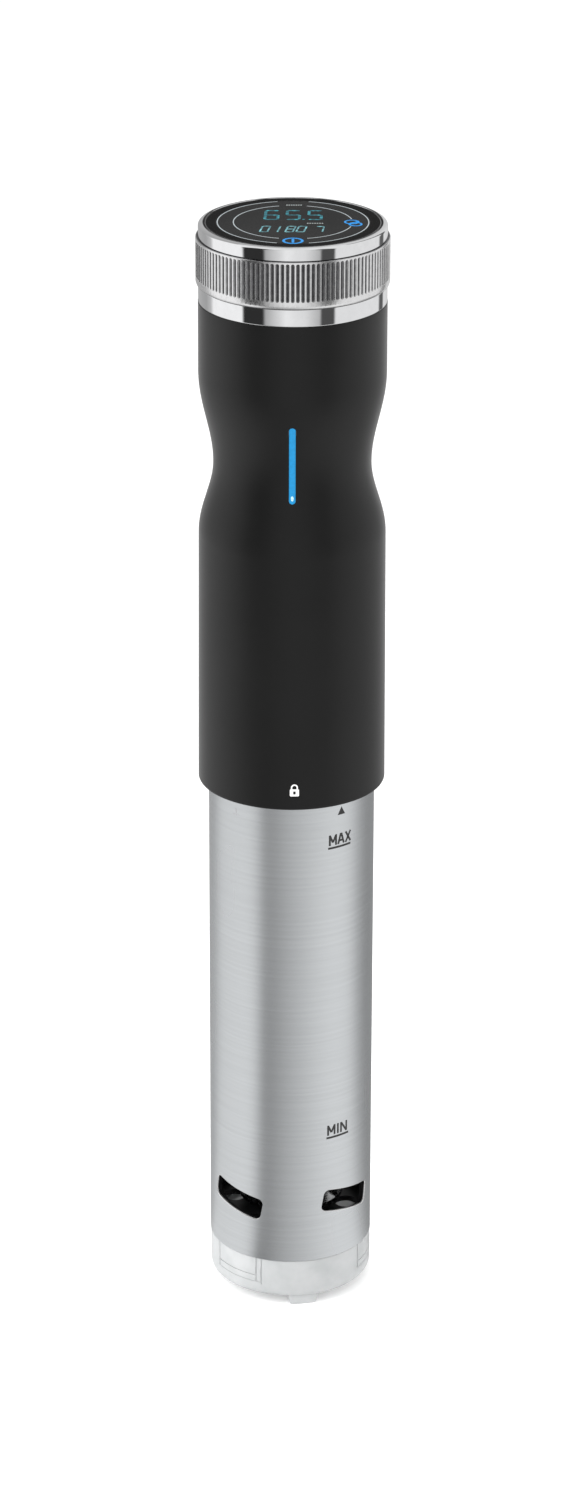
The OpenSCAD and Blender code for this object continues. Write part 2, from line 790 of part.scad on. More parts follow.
module encoder_pinion() {
    shaft = 1.5;
    color("#d8d3c4") translate([0, gear_centre, 0]) {
        translate([0, 0, gear_z + 0.4]) linear_extrude(gear_h - 0.8)
            rotate([0, 0, pinion_teeth % 2 == 0 ? 0 : 180 / pinion_teeth])
                gear_outline(pinion_teeth, gear_module * 0.85, gear_module * 1.1, 0.06);
        translate([0, 0, encoder_z + encoder_h - 3]) cylinder(r = shaft, h = gear_z + 1 - encoder_z - encoder_h + 3);
    }
}

module encoder_body() {
    color("#3c4650") difference() {
        translate([-encoder_w / 2, gear_centre - encoder_w / 2, encoder_z]) cube([encoder_w, encoder_w, encoder_h]);
        translate([0, gear_centre, encoder_z + encoder_h - 3.3]) cylinder(r = 1.5 + run_fit, h = 4);
    }
}

module lens_bezel() {
    ledge_r_in = cup_ri - 0.4;
    bead = 0.9;
    color(chrome) rotate_extrude() polygon(concat(
        [[ledge_r_in, rim_z], [rim_r, rim_z], [rim_r, top_z - bead]],
        [for (a = [15:15:75]) [rim_r - bead + bead * cos(a), top_z - bead + bead * sin(a)]],
        [[rim_r - bead, top_z], [lens_r + 0.02, top_z], [lens_r + 0.02, lens_z], [ledge_r_in, lens_z]]));
}

module display_lens() {
    color("#0b0c0e") translate([0, 0, lens_z]) cylinder(r = lens_r, h = lens_t);
}

module display_board() {
    color(board_green) ring(cup_ri - 0.3, 3, display_z, 1.6);
}

module digit_module() {
    color("#15181c") translate([-12, -13, display_z + 1.6]) cube([24, 28, lens_z - display_z - 1.7]);
}

// Two coil springs that carry the touch areas' signal up to the lens
module touch_springs() {
    turns = 4;
    per_turn = 12;
    low = display_z + 1.95;
    rise = lens_z - low - 0.4;
    color("#d7b36a") for (a = [0, 90]) toward(a) translate([0, -touch_ring, 0])
        wire([for (i = [0:turns * per_turn]) [2.4 * cos(360 * i / per_turn), 2.4 * sin(360 * i / per_turn),
            low + rise * i / (turns * per_turn)]], 0.35, 6);
}

// Captive ring that turns on the bayonet ring and carries the tube round with its three keys
module lock_ring() {
    color("#e7e2d6") {
        ring(collar_r, hub_r + 0.15, lock_z, lock_ring_h);
        for (a = [60, 180, 300]) toward(a) ring_arc(collar_r - 0.1, collar_ri + 0.1, lock_z - 1.7, 2.2, 9.5);
    }
}

module tube_collar() {
    low = tube_top_z - 12;
    wall_top = lock_z - 0.3;
    color("#202022") difference() {
        union() {
            ring(collar_r, collar_ri, low, wall_top - low);
            for (a = [0, 120, 240]) toward(a + lock_turn) ring_arc(collar_ri + 0.2, tab_ri, tab_z, tab_h, tab_angle);
        }
        for (a = [60, 180, 300]) toward(a) ring_arc(collar_r + 1, collar_ri - 0.3, lock_z - 2, 3, 10.5);
        for (a = [0, 120, 240]) toward(a) y_rod(0, -collar_r - 1, low + 4, 1, collar_wall + 2);
    }
}

module collar_pins() {
    color(steel) for (a = [0, 120, 240]) toward(a)
        y_rod(0, -tube_r + 0.05, tube_top_z - 8, 1, collar_wall + tube_wall - 0.2);
}

// Slot in the wall of a tube: rounded, and lower at its right end
module slot_cut(r, h, angle, grow) {
    corner = 2.2 + grow;
    half_w = r * sin(angle / 2) + grow;
    half_h = h / 2 + grow;
    lean = atan(slot_rise / (2 * r * sin(angle / 2)));
    translate([0, 0, slot_mid]) rotate([0, lean, 0]) rotate([90, 0, 0]) translate([0, 0, 10]) linear_extrude(r)
        polygon([for (q = [0:3], a = [0:18:90]) let(s = q == 0 || q == 3 ? 1 : -1, t = q < 2 ? 1 : -1)
            [s * (half_w - corner) + corner * cos(a + 90 * q), t * (half_h - corner) + corner * sin(a + 90 * q)]]);
}

module tube_sleeve() {
    color(steel) difference() {
        translate([0, 0, tube_z]) cylinder(r = tube_r, h = tube_top_z - tube_z);
        translate([0, 0, tube_z - over]) cylinder(r = tube_ri, h = tube_top_z - tube_z + 2 * over);
        for (a = slot_turns) toward(a) slot_cut(tube_r, slot_h, slot_angle, 0);
        for (a = [0, 120, 240]) toward(a) y_rod(0, -tube_r - 1, tube_top_z - 8, 1, 5);
    }
}

// Liner behind the slots, with a floor under the impeller and a ledge over it
module pump_liner() {
    hole_count = 6;
    hole_turn = -37;
    hole_r = 4.2;
    color("#1c1c1e") {
        difference() {
            ring(liner_r, liner_ri, liner_z, liner_top - liner_z);
            for (a = slot_turns) toward(a) slot_cut(liner_r, slot_h, slot_angle, 0.8);
        }
        ring(liner_ri + 0.3, impeller_r + 1.6, slot_mid + slot_h / 2 + slot_rise / 2 + 2.2, 2);
        difference() {
            translate([0, 0, floor_z]) cylinder(r = liner_ri + 0.3, h = floor_h);
            translate([0, 0, floor_z - over]) cylinder(r = shaft_r + 3.4, h = floor_h + 2 * over);
            for (i = [0:hole_count - 1]) toward(hole_turn + 360 * i / hole_count)
                translate([0, hole_r + 1.6 - liner_ri, floor_z - over]) cylinder(r = hole_r, h = floor_h + 2 * over);
        }
    }
}

// Three spring catches that hold the cap, seen through its wall
module cap_clips() {
    low = cap_z + 3.8;
    color("#c4c7c8") for (a = [-41, 79, 199]) toward(a) {
        ring_arc(clip_r, clip_r - clip_t, low, floor_z - low, 40);
        ring_arc(clip_r + 0.3, clip_r - clip_t, low, 1.2, 34);
    }
}

module foot_cap() {
    floor_h = 2.2;
    bar_count = 12;
    color(frost) {
        difference() {
            union() {
                rotate_extrude() polygon(concat(
                    [[0, cap_z], [cap_r - edge_r, cap_z]],
                    [for (a = [-75:15:-15]) [cap_r - edge_r + edge_r * cos(a), cap_z + edge_r + edge_r * sin(a)]],
                    [[cap_r, cap_z + edge_r], [cap_r, tube_z - 0.3], [cap_r - 0.3, tube_z], [0, tube_z]]));
                translate([0, 0, tube_z - over]) cylinder(r = spigot_r, h = spigot_h + over);
            }
            translate([0, 0, cap_z + floor_h]) cylinder(r = spigot_ri, h = cap_h + spigot_h);
            translate([0, 0, cap_z - over]) cylinder(r = 4, h = floor_h + 2 * over);
            for (i = [0:bar_count - 1]) toward(360 * (i + 0.5) / bar_count) {
                translate([-1.5, -16.5, cap_z - over]) cube([3, 9.5, floor_h + 2 * over]);
                translate([0, -16.5, cap_z - over]) cylinder(r = 1.5, h = floor_h + 2 * over);
            }
        }
        for (i = [0:foot_count - 1]) toward(foot_turn + 360 * i / foot_count) foot();
    }
}

// Foot: a block with sloping sides under the cap's edge
module foot() {
    top_w = foot_w;
    low_w = foot_w - 1.6;
    out = cap_r - 1.1;
    difference() {
        intersection() {
            translate([0, -out + 5, 0]) rotate([90, 0, 0]) linear_extrude(5)
                polygon([[-low_w / 2, 0], [low_w / 2, 0], [top_w / 2, cap_z + 1], [-top_w / 2, cap_z + 1]]);
            cylinder(r = out, h = cap_z + 1);
        }
    }
}

// Block on the housing's back with two ears for the hinge pin and a stop for the lever
module clamp_bracket() {
    color(black) difference() {
        union() {
            translate([-bracket_w / 2, 20, bracket_low]) cube([bracket_w, bracket_y - 20, bracket_high - bracket_low]);
            for (side = [-1, 1]) translate([side * (ear_x + ear_t / 2) - ear_t / 2, 0, 0]) {
                translate([0, bracket_y - 1, pin_z - barrel_r]) cube([ear_t, pin_y - bracket_y + 1, 2 * barrel_r]);
                translate([0, pin_y, pin_z]) rotate([0, 90, 0]) cylinder(r = barrel_r, h = ear_t);
            }
            // stop behind the jaw arm
            translate([-6, bracket_y - 1, bracket_low + 1]) cube([12, lever_y - bracket_y + 0.9, 5]);
        }
        translate([0, 0, bracket_low - over]) rotate_extrude() polygon([
            [0, 0], [outer_r(bracket_low) + 0.05, 0], [outer_r(bracket_high) + 0.05, bracket_high - bracket_low + 2 * over],
            [0, bracket_high - bracket_low + 2 * over]]);
        x_rod(pin_y, pin_z, pin_r, bracket_w + 2);
        for (z = bracket_screw_heights) y_rod(0, 20, z, 1.25, 30);
    }
}

module bracket_screws() {
    head_r = 2.8;
    color(steel) for (z = bracket_screw_heights) {
        y = sqrt(pow(inner_r(z), 2) - pow(head_r, 2)) - 0.1;
        y_rod(0, y - 2, z, head_r, 2);
        y_rod(0, y, z, 1.2, bracket_y - y - 0.4);
    }
}

module clamp_pin() {
    color(steel) x_rod(pin_y, pin_z, pin_r, bracket_w + 1.2);
}

// Side outline of the lever in Y and Z: jaw arm down, thumb arm up and outwards
module clamp_lever() {
    half = lever_w / 2;
    gap = 6.4;
    low = pin_z - jaw_reach;
    color("#2a2a2d") difference() {
        union() {
            translate([-half, lever_y, low]) cube([lever_w, lever_t, jaw_reach - 4]);
            for (x = [-half, gap]) {
                translate([x, pin_y, pin_z]) rotate([0, 90, 0]) cylinder(r = barrel_r, h = half - gap);
                translate([x, lever_y, pin_z - 8]) cube([half - gap, pin_y - lever_y, 8]);
            }
            translate([-half, 0, 0]) rotate([90, 0, 90]) linear_extrude(lever_w) polygon([
                [pin_y + 2, pin_z + 4.5], [pin_y + 5.2, pin_z + 1.5],
                [pin_y + thumb_out + 1.6, pin_z + thumb_rise - 6], [pin_y + thumb_out + 2.2, pin_z + thumb_rise],
                [pin_y + thumb_out - 1.2, pin_z + thumb_rise], [pin_y + thumb_out - 1.8, pin_z + thumb_rise - 6]]);
        }
        x_rod(pin_y, pin_z, pin_r + run_fit, lever_w + 2);
        translate([-gap, pin_y - barrel_r - 2, pin_z - barrel_r]) cube([2 * gap, 2 * barrel_r + 2, 2 * barrel_r]);
    }
}

module clamp_pad() {
    ridge_count = 6;
    low = pin_z - jaw_reach + 3;
    color("#3a3a3a") {
        translate([-lever_w / 2 + 2, lever_y - pad_t + 1, low]) cube([lever_w - 4, pad_t - 1, 24]);
        for (i = [0:ridge_count - 1]) translate([-lever_w / 2 + 2, lever_y - pad_t, low + 1 + 4 * i])
            cube([lever_w - 4, 1.2, 2]);
    }
}

// Torsion spring round the pin, with one leg on the bracket and one on the lever
module clamp_spring() {
    turns = 4;
    per_turn = 16;
    span = 8.4;
    start = 200;
    count = turns * per_turn + 6;
    coil = [for (i = [0:count]) [-span / 2 + span * i / count,
        pin_y + spring_r * cos(start + 360 * i / per_turn), pin_z + spring_r * sin(start + 360 * i / per_turn)]];
    first = coil[0];
    last = coil[count];
    color(steel) wire(concat([[first[0], bracket_y + spring_wire + 0.1, pin_z + 6], [first[0], first[1] - 0.4, first[2] + 2.4]],
        coil), spring_wire, 6);
}

front_shell();
rear_shell();
shell_screws();
light_guide();
light_board();
main_board();
board_capacitor();
power_relay();
board_transformer();
heat_sink();
motor_mount();
motor_can();
motor_magnets();
motor_bearings();
base_plate();
bayonet_ring();
base_screws();
seal_ring();
heater_flange();
heater_coil();
temperature_probe();
level_probes();
shaft_bush();
shaft_seal();
cord_gland();
lower_band();
head_frame();
head_screws();
dial_washer();
lens_bezel();
display_lens();
display_board();
digit_module();
touch_springs();
encoder_body();
clamp_bracket();
bracket_screws();
clamp_pin();
clamp_spring();
dial_ring();
dial_gear();
encoder_pinion();
motor_armature();
shaft_coupling();
drive_shaft();
pump_impeller();
impeller_nut();
lock_ring();
tube_sleeve();
tube_collar();
collar_pins();
pump_liner();
cap_clips();
foot_cap();
clamp_lever();
clamp_pad();
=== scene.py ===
import json
import math

import bmesh
import bpy
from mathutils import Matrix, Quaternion, Vector


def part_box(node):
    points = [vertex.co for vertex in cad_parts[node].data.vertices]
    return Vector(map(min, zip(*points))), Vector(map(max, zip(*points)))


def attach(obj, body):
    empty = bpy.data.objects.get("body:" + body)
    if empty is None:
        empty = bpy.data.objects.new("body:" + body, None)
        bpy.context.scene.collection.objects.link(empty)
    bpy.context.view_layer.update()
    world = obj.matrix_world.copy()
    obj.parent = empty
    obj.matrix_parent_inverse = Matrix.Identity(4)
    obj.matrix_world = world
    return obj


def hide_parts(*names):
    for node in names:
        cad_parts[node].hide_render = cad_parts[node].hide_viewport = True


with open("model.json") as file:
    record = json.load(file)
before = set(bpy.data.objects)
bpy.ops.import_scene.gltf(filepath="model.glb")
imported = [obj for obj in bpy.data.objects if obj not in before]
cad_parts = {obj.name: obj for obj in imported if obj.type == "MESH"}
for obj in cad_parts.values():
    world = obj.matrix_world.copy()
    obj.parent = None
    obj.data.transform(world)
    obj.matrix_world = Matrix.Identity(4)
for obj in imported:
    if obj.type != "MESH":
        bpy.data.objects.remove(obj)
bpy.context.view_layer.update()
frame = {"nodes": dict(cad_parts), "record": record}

# The script works in metres, as the frame does. Angles round the object are in degrees, measured
# to the right of the front (-Y), so 90 is +X. Small sizes are written as a number of MM.
MM = 0.001
SCENE = bpy.context.scene

# ------------------------ camera

CAMERA_HEIGHT = 0.81806
CAMERA_DISTANCE = 1.49235
CAMERA_SIDE = 0.00065
CAMERA_PITCH = 22.45
CAMERA_ROLL = 0.16


def make_camera():
    """Long lens in front of the object, looking down at it."""
    data = bpy.data.cameras.new("camera")
    data.lens = 112.8
    data.sensor_width = 36
    data.clip_start = 0.05
    data.clip_end = 50
    camera = bpy.data.objects.new("camera", data)
    camera.location = (CAMERA_SIDE, -CAMERA_DISTANCE, CAMERA_HEIGHT)
    camera.rotation_mode = "QUATERNION"
    tilt = Quaternion((1, 0, 0), math.radians(90 - CAMERA_PITCH))
    camera.rotation_quaternion = tilt @ Quaternion((0, 0, 1), math.radians(CAMERA_ROLL))
    SCENE.collection.objects.link(camera)
    SCENE.camera = camera


make_camera()
SCENE.view_settings.view_transform = "Standard"

# ------------------------ shader helpers


def new_material(name):
    """A material with its node tree and its Principled shader."""
    material = bpy.data.materials.new(name)
    material.use_nodes = True
    shader = material.node_tree.nodes["Principled BSDF"]
    return material, material.node_tree, shader


def feed(socket, value):
    """Gives an input socket a constant, or links another socket to it."""
    if isinstance(value, bpy.types.NodeSocket):
        socket.id_data.links.new(value, socket)
    else:
        socket.default_value = value


def add(tree, kind, inputs=None, **settings):
    """A node with its settings; inputs maps a socket's name or number to a value or to another socket."""
    made = tree.nodes.new(kind)
    for key, value in settings.items():
        setattr(made, key, value)
    for key, value in (inputs or {}).items():
        feed(made.inputs[key], value)
    return made


def settle(shader, **values):
    """Feeds the shader's own sockets; underscores stand for spaces."""
    for key, value in values.items():
        feed(shader.inputs[key.replace("_", " ")], value)


def coordinates(tree, stretch=(1, 1, 1)):
    """Object coordinates in metres, stretched along each axis."""
    where = add(tree, "ShaderNodeTexCoord").outputs["Object"]
    return add(tree, "ShaderNodeMapping", {"Vector": where, "Scale": stretch}).outputs["Vector"]


def noise(tree, where, scale, detail=3.0, roughness=0.5):
    return add(tree, "ShaderNodeTexNoise", {"Vector": where, "Scale": scale, "Detail": detail,
                                            "Roughness": roughness}).outputs["Fac"]


def maths(tree, operation, first, second, **settings):
    return add(tree, "ShaderNodeMath", {0: first, 1: second}, operation=operation, **settings).outputs[0]


def spread(tree, value, low, high, start=0.3, end=0.7):
    """Maps a value from start..end to low..high; most of a noise lies from 0.3 to 0.7."""
    return add(tree, "ShaderNodeMapRange", {"Value": value, "From Min": start, "From Max": end,
                                            "To Min": low, "To Max": high}).outputs["Result"]


def mixed(tree, amount, first, second):
    """Colour between first and second."""
    return add(tree, "ShaderNodeMix", {0: amount, 6: first, 7: second}, data_type="RGBA").outputs[2]


def blend(tree, value, first, second, start=0.3, end=0.7):
    """Colour that goes from first to second while a value goes from start to end."""
    return mixed(tree, spread(tree, value, 0.0, 1.0, start, end), first, second)


def grey(value, tint=(1.0, 1.0, 1.0)):
    return (value * tint[0], value * tint[1], value * tint[2], 1.0)


def from_axis(tree, where):
    """Distance from the object's upright axis."""
    flat = add(tree, "ShaderNodeVectorMath", {0: where, 1: (1, 1, 0)}, operation="MULTIPLY").outputs[0]
    return add(tree, "ShaderNodeVectorMath", {0: flat}, operation="LENGTH").outputs["Value"]


def bump(tree, shader, height, strength, distance):
    node = add(tree, "ShaderNodeBump", {"Height": height, "Strength": strength, "Distance": distance})
    settle(shader, Normal=node.outputs["Normal"])


# ------------------------ materials, one for each slot


def moulded(name, colour, roughness, grain=0.35 * MM, depth=0.02 * MM):
    """Moulded plastic or rubber: fine grain, and colour and gloss that vary a little."""
    material, tree, shader = new_material(name)
    where = coordinates(tree)
    fine = noise(tree, where, 1 / grain, 2.0)
    settle(shader, Base_Color=blend(tree, noise(tree, where, 45.0), grey(0.86, colour), grey(1.14, colour)),
           Roughness=spread(tree, fine, roughness - 0.05, roughness + 0.05), Specular_IOR_Level=0.4)
    bump(tree, shader, fine, 0.35, depth)
    return material


def soft_touch(name):
    """Black soft-touch coat: nearly matt, with a dusty lift towards the edges."""
    material, tree, shader = new_material(name)
    where = coordinates(tree)
    grain = noise(tree, where, 5200.0, 2.0, 0.6)
    cloud = noise(tree, where, 28.0, 4.0)
    settle(shader, Base_Color=blend(tree, cloud, grey(0.0020), grey(0.0030), 0.35, 0.65),
           Roughness=spread(tree, grain, 0.40, 0.50), Specular_IOR_Level=0.30, Sheen_Weight=0.22,
           Sheen_Roughness=0.36)
    bump(tree, shader, grain, 0.22, 0.015 * MM)
    return material


def polished(name, colour=(0.86, 0.865, 0.875)):
    """Chrome plating: mirror gloss with faint polishing swirls and a few hairlines."""
    material, tree, shader = new_material(name)
    swirl = noise(tree, coordinates(tree), 260.0, 5.0, 0.7)
    hair = noise(tree, coordinates(tree, (60, 60, 5200)), 1.0, 2.0, 0.8)
    settle(shader, Base_Color=blend(tree, swirl, grey(1.0, colour), grey(0.95, colour), 0.35, 0.65),
           Roughness=spread(tree, swirl, 0.045, 0.075, 0.45, 0.75), Metallic=1.0)
    bump(tree, shader, hair, 0.05, 0.004 * MM)
    return material


def brushed(name, colour=(0.655, 0.675, 0.69)):
    """Steel brushed round its axis: fine hairlines that run round the tube, with a few longer ones."""
    material, tree, shader = new_material(name)
    fine = noise(tree, coordinates(tree, (34, 34, 5200)), 1.0, 3.0, 0.65)
    long = noise(tree, coordinates(tree, (11, 11, 1040)), 1.0, 2.0)
    cloud = noise(tree, coordinates(tree, (30, 30, 12)), 1.0)
    hairlines = maths(tree, "MULTIPLY", fine, long)
    around = add(tree, "ShaderNodeTangent", direction_type="RADIAL", axis="Z").outputs["Tangent"]
    settle(shader, Base_Color=blend(tree, hairlines, grey(0.955, colour), grey(1.03, colour), 0.10, 0.45),
           Roughness=spread(tree, cloud, 0.245, 0.28), Metallic=1.0, Anisotropic=0.72, Tangent=around)
    bump(tree, shader, fine, 0.12, 0.006 * MM)
    return material


def fluted_metal(name, outer, depth):
    """Satin chrome on the lands between flutes; the flutes' floors, further in, get painted shade: a darker
    colour, and duller.
    """
    material, tree, shader = new_material(name)
    where = coordinates(tree)
    swirl = noise(tree, where, 700.0, 4.0, 0.6)
    # Painted shade: the base colour darkens from the lands down into the flutes' floors, by distance from the
    # axis.
    painted_shade_mask = spread(tree, from_axis(tree, where), 0.0, 1.0, outer - depth, outer - 0.08 * MM)
    uneven = maths(tree, "ADD", painted_shade_mask, spread(tree, swirl, -0.12, 0.12), use_clamp=True)
    settle(shader, Base_Color=mixed(tree, uneven, (0.13, 0.13, 0.135, 1), (0.84, 0.84, 0.845, 1)),
           Roughness=spread(tree, uneven, 0.34, 0.24, 0.0, 1.0), Metallic=1.0)
    bump(tree, shader, swirl, 0.1, 0.008 * MM)
    return material


def cast_metal(name, colour, roughness, scale=900.0, metallic=1.0):
    """Turned, plated or sintered metal: mottled colour and a fine uneven skin."""
    material, tree, shader = new_material(name)
    where = coordinates(tree)
    fine = noise(tree, where, scale, 4.0, 0.6)
    settle(shader, Base_Color=blend(tree, noise(tree, where, 60.0), grey(0.85, colour), grey(1.08, colour)),
           Roughness=spread(tree, fine, roughness - 0.06, roughness + 0.08), Metallic=metallic)
    bump(tree, shader, fine, 0.25, 0.02 * MM)
    return material


def heater_metal(name):
    """Annealed heater rod: straw and blue tints in patches over dull steel."""
    material, tree, shader = new_material(name)
    where = coordinates(tree)
    patch = noise(tree, where, 55.0)
    fine = noise(tree, where, 1500.0)
    settle(shader, Base_Color=blend(tree, patch, (0.50, 0.46, 0.38, 1), (0.42, 0.43, 0.47, 1), 0.4, 0.6),
           Roughness=spread(tree, fine, 0.28, 0.42), Metallic=1.0)
    bump(tree, shader, fine, 0.2, 0.02 * MM)
    return material


def circuit_board(name):
    """Solder mask with copper tracks under it, in a fine grid of traces."""
    material, tree, shader = new_material(name)
    tracks = add(tree, "ShaderNodeTexVoronoi", {"Vector": coordinates(tree), "Scale": 420.0},
                 distance="MANHATTAN", feature="F1").outputs["Distance"]
    mask = spread(tree, tracks, 0.0, 1.0, 0.28, 0.34)
    settle(shader, Base_Color=mixed(tree, mask, (0.05, 0.22, 0.10, 1), (0.018, 0.10, 0.045, 1)),
           Roughness=0.34, Coat_Weight=0.4, Coat_Roughness=0.12)
    bump(tree, shader, mask, 0.3, 0.03 * MM)
    return material


def frosted(name):
    """Frosted translucent plastic: milky, with the pieces behind it showing through."""
    material, tree, shader = new_material(name)
    where = coordinates(tree)
    cloud = noise(tree, where, 90.0, 4.0)
    fine = noise(tree, where, 2600.0, 2.0)
    settle(shader, Base_Color=blend(tree, cloud, (0.50, 0.515, 0.52, 1), (0.56, 0.57, 0.575, 1), 0.35, 0.65),
           Roughness=spread(tree, fine, 0.30, 0.40), Alpha=spread(tree, cloud, 0.72, 0.80),
           Specular_IOR_Level=0.4)
    bump(tree, shader, fine, 0.12, 0.012 * MM)
    return material


def lens_gloss(name, window):
    """Glossy black display lens: smoky over the display window, blacker outside it, with faint dust."""
    material, tree, shader = new_material(name)
    where = coordinates(tree)
    depth = noise(tree, where, 40.0)
    dust = noise(tree, where, 1800.0, 4.0, 0.7)
    smoke = blend(tree, depth, grey(0.024), grey(0.032))
    settle(shader, Base_Color=blend(tree, from_axis(tree, where), smoke, grey(0.007), window - 0.2 * MM,
                                    window + 0.2 * MM),
           Roughness=spread(tree, dust, 0.05, 0.09, 0.55, 0.8), Specular_IOR_Level=0.45, Coat_Weight=0.3,
           Coat_Roughness=0.03)
    return material


def lit(name, colour, strength, low=0.75, cell=1100.0, base=(0.02, 0.05, 0.07, 1), start=0.35):
    """Lit mark under the lens or behind a light guide, or a painted highlight: the light is uneven at a small
    scale.
    """
    material, tree, shader = new_material(name)
    uneven = noise(tree, coordinates(tree), cell)
    settle(shader, Emission_Color=blend(tree, uneven, grey(low, colour), grey(1.0, colour), start, 0.68),
           Emission_Strength=strength, Base_Color=base, Roughness=0.35, Specular_IOR_Level=0.25)
    return material


def printed(name, colour):
    """Screen-printed ink: flat colour that thins in tiny specks."""
    material, tree, shader = new_material(name)
    speck = noise(tree, coordinates(tree), 2400.0, 3.0, 0.7)
    thin = [c * 0.8 + 0.02 for c in colour] + [1.0]
    settle(shader, Base_Color=blend(tree, speck, thin, grey(1.0, colour), 0.3, 0.55),
           Roughness=spread(tree, speck, 0.5, 0.38))
    return material


SLOT_MATERIALS = {
    "black_shell": soft_touch("soft_touch_black"),
    "black_plastic": moulded("moulded_black", (0.012, 0.012, 0.013), 0.42),
    "light_blue": lit("light_guide_blue", (0.003, 0.235, 0.50), 1.0, low=0.8, base=(0.008, 0.09, 0.2, 1)),
    "board_green": circuit_board("circuit_board"),
    "capacitor_sleeve": moulded("capacitor_sleeve", (0.03, 0.04, 0.07), 0.3),
    "relay_blue": moulded("relay_case", (0.05, 0.16, 0.42), 0.4),
    "transformer_tape": moulded("transformer_tape", (0.75, 0.52, 0.10), 0.45),
    "aluminium": cast_metal("milled_aluminium", (0.78, 0.79, 0.80), 0.3),
    "motor_grey": cast_metal("zinc_plate", (0.50, 0.51, 0.53), 0.35),
    "magnet_grey": cast_metal("ferrite", (0.08, 0.08, 0.09), 0.55, metallic=0.3),
    "bronze": cast_metal("sintered_bronze", (0.62, 0.40, 0.20), 0.42),
    "copper_winding": cast_metal("copper_winding", (0.62, 0.25, 0.10), 0.32),
    "steel_brushed": brushed("brushed_steel"),
    "steel_plain": cast_metal("bright_steel", (0.66, 0.665, 0.67), 0.22),
    "heater_steel": heater_metal("heater_rod"),
    "chrome": polished("chrome"),
    "black_rubber": moulded("moulded_rubber", (0.014, 0.014, 0.015), 0.62, grain=0.5 * MM, depth=0.03 * MM),
    "white_plastic": moulded("bearing_plastic", (0.80, 0.78, 0.72), 0.38),
    "frosted_cap": frosted("frosted_plastic"),
    "lens_black": lens_gloss("display_lens_gloss", 25.4 * MM),
}
WHITE_INK = printed("white_ink", (0.86, 0.86, 0.85))
BLACK_INK = printed("black_ink", (0.012, 0.012, 0.012))
FAINT_INK = printed("faint_ink", (0.30, 0.30, 0.31))
# Painted highlight: a small glowing white-blue spot put on the skin at the light bar's lower end.
PAINTED_GLINT = lit("guide_painted_glint", (0.62, 0.90, 1.0), 1.3, low=0.55, cell=2600.0)
CUT_EDGE = cast_metal("cut_edge", (0.90, 0.90, 0.90), 0.30, scale=600.0)
LENS_WHITE = lit("lens_white_line", (0.66, 0.68, 0.68), 0.85, low=0.8)
LENS_GREY = lit("lens_grey_bar", (0.62, 0.62, 0.58), 0.8, low=0.6)
DIGIT_TEAL = lit("digit_teal", (0.08, 0.62, 0.70), 0.8, low=0.16, cell=620.0, start=0.48)
DIGIT_PALE = lit("digit_pale", (0.36, 0.82, 0.86), 0.85, low=0.22, cell=620.0, start=0.42)
ICON_BLUE = lit("icon_blue", (0.02, 0.33, 0.90), 1.0, low=0.7)

node_slot = {s["node"]: s["material_slot"] for s in frame["record"]["subparts"]}
node_body = {n: b for b, ns in frame["record"]["behaviour"]["bodies"].items() for n in ns}

for name, node in frame["nodes"].items():
    node.data.materials.clear()
    node.data.materials.append(SLOT_MATERIALS[node_slot[name]])

# ------------------------ mesh helpers


def make_object(name, mesh, material):
    piece = bpy.data.objects.new(name, mesh)
    SCENE.collection.objects.link(piece)
    mesh.materials.clear()
    mesh.materials.append(material)
    return piece


def applied(piece):
    """Bakes a piece's modifiers into its mesh."""
    depsgraph = bpy.context.evaluated_depsgraph_get()
    mesh = bpy.data.meshes.new_from_object(piece.evaluated_get(depsgraph))
    piece.modifiers.clear()
    piece.data = mesh
    return piece


def smoothed(piece, sharp):
    """Smooth shading with sharp edges above an angle; large faces keep their own direction."""
    piece.data.shade_smooth()
    piece.data.set_sharp_from_angle(angle=math.radians(sharp))
    modifier = piece.modifiers.new("weighted_normals", "WEIGHTED_NORMAL")
    modifier.mode = "FACE_AREA"
    modifier.keep_sharp = True
    return applied(piece)


def from_bmesh(name, built, material, sharp=34):
    """Object from a bmesh, with smooth faces and sharp edges above an angle."""
    bmesh.ops.recalc_face_normals(built, faces=built.faces)
    mesh = bpy.data.meshes.new(name)
    built.to_mesh(mesh)
    built.free()
    return smoothed(make_object(name, mesh, material), sharp)


def point(radius, angle, z):
    """Point at an angle to the right of the front."""
    a = math.radians(angle)
    return (radius * math.sin(a), -radius * math.cos(a), z)


def turned(vector, angle):
    """A vector turned about the upright axis."""
    a = math.radians(angle)
    x, y, z = vector
    return (x * math.cos(a) - y * math.sin(a), x * math.sin(a) + y * math.cos(a), z)


def arc(centre, radius, start, end, steps):
    """Points of an arc from start to end, in degrees, both ends included."""
    turns = [math.radians(start + (end - start) * i / steps) for i in range(steps + 1)]
    return [(centre[0] + radius * math.cos(a), centre[1] + radius * math.sin(a)) for a in turns]


def offset(base, *steps):
    """Points at steps in millimetres from a base point in metres."""
    return [(base[0] + x * MM, base[1] + y * MM) for x, y in steps]


def oblong(x, y, width, height):
    """Outline of an upright rectangle with its lower left corner at x, y."""
    return [(x, y), (x + width, y), (x + width, y + height), (x, y + height)]


def skin(built, rings, closed=False):
    """Faces between neighbouring rings of points, and between the last and the first when closed."""
    for a, b in zip(rings, rings[1:] + rings[:1] * closed):
        for k in range(len(a)):
            n = (k + 1) % len(a)
            built.faces.new((a[k], a[n], b[n], b[k]))


def solid(built, rings):
    """Closed solid along a row of rings, with a flat face at each end."""
    built.faces.new(rings[0])
    built.faces.new(rings[-1][::-1])
    skin(built, rings)


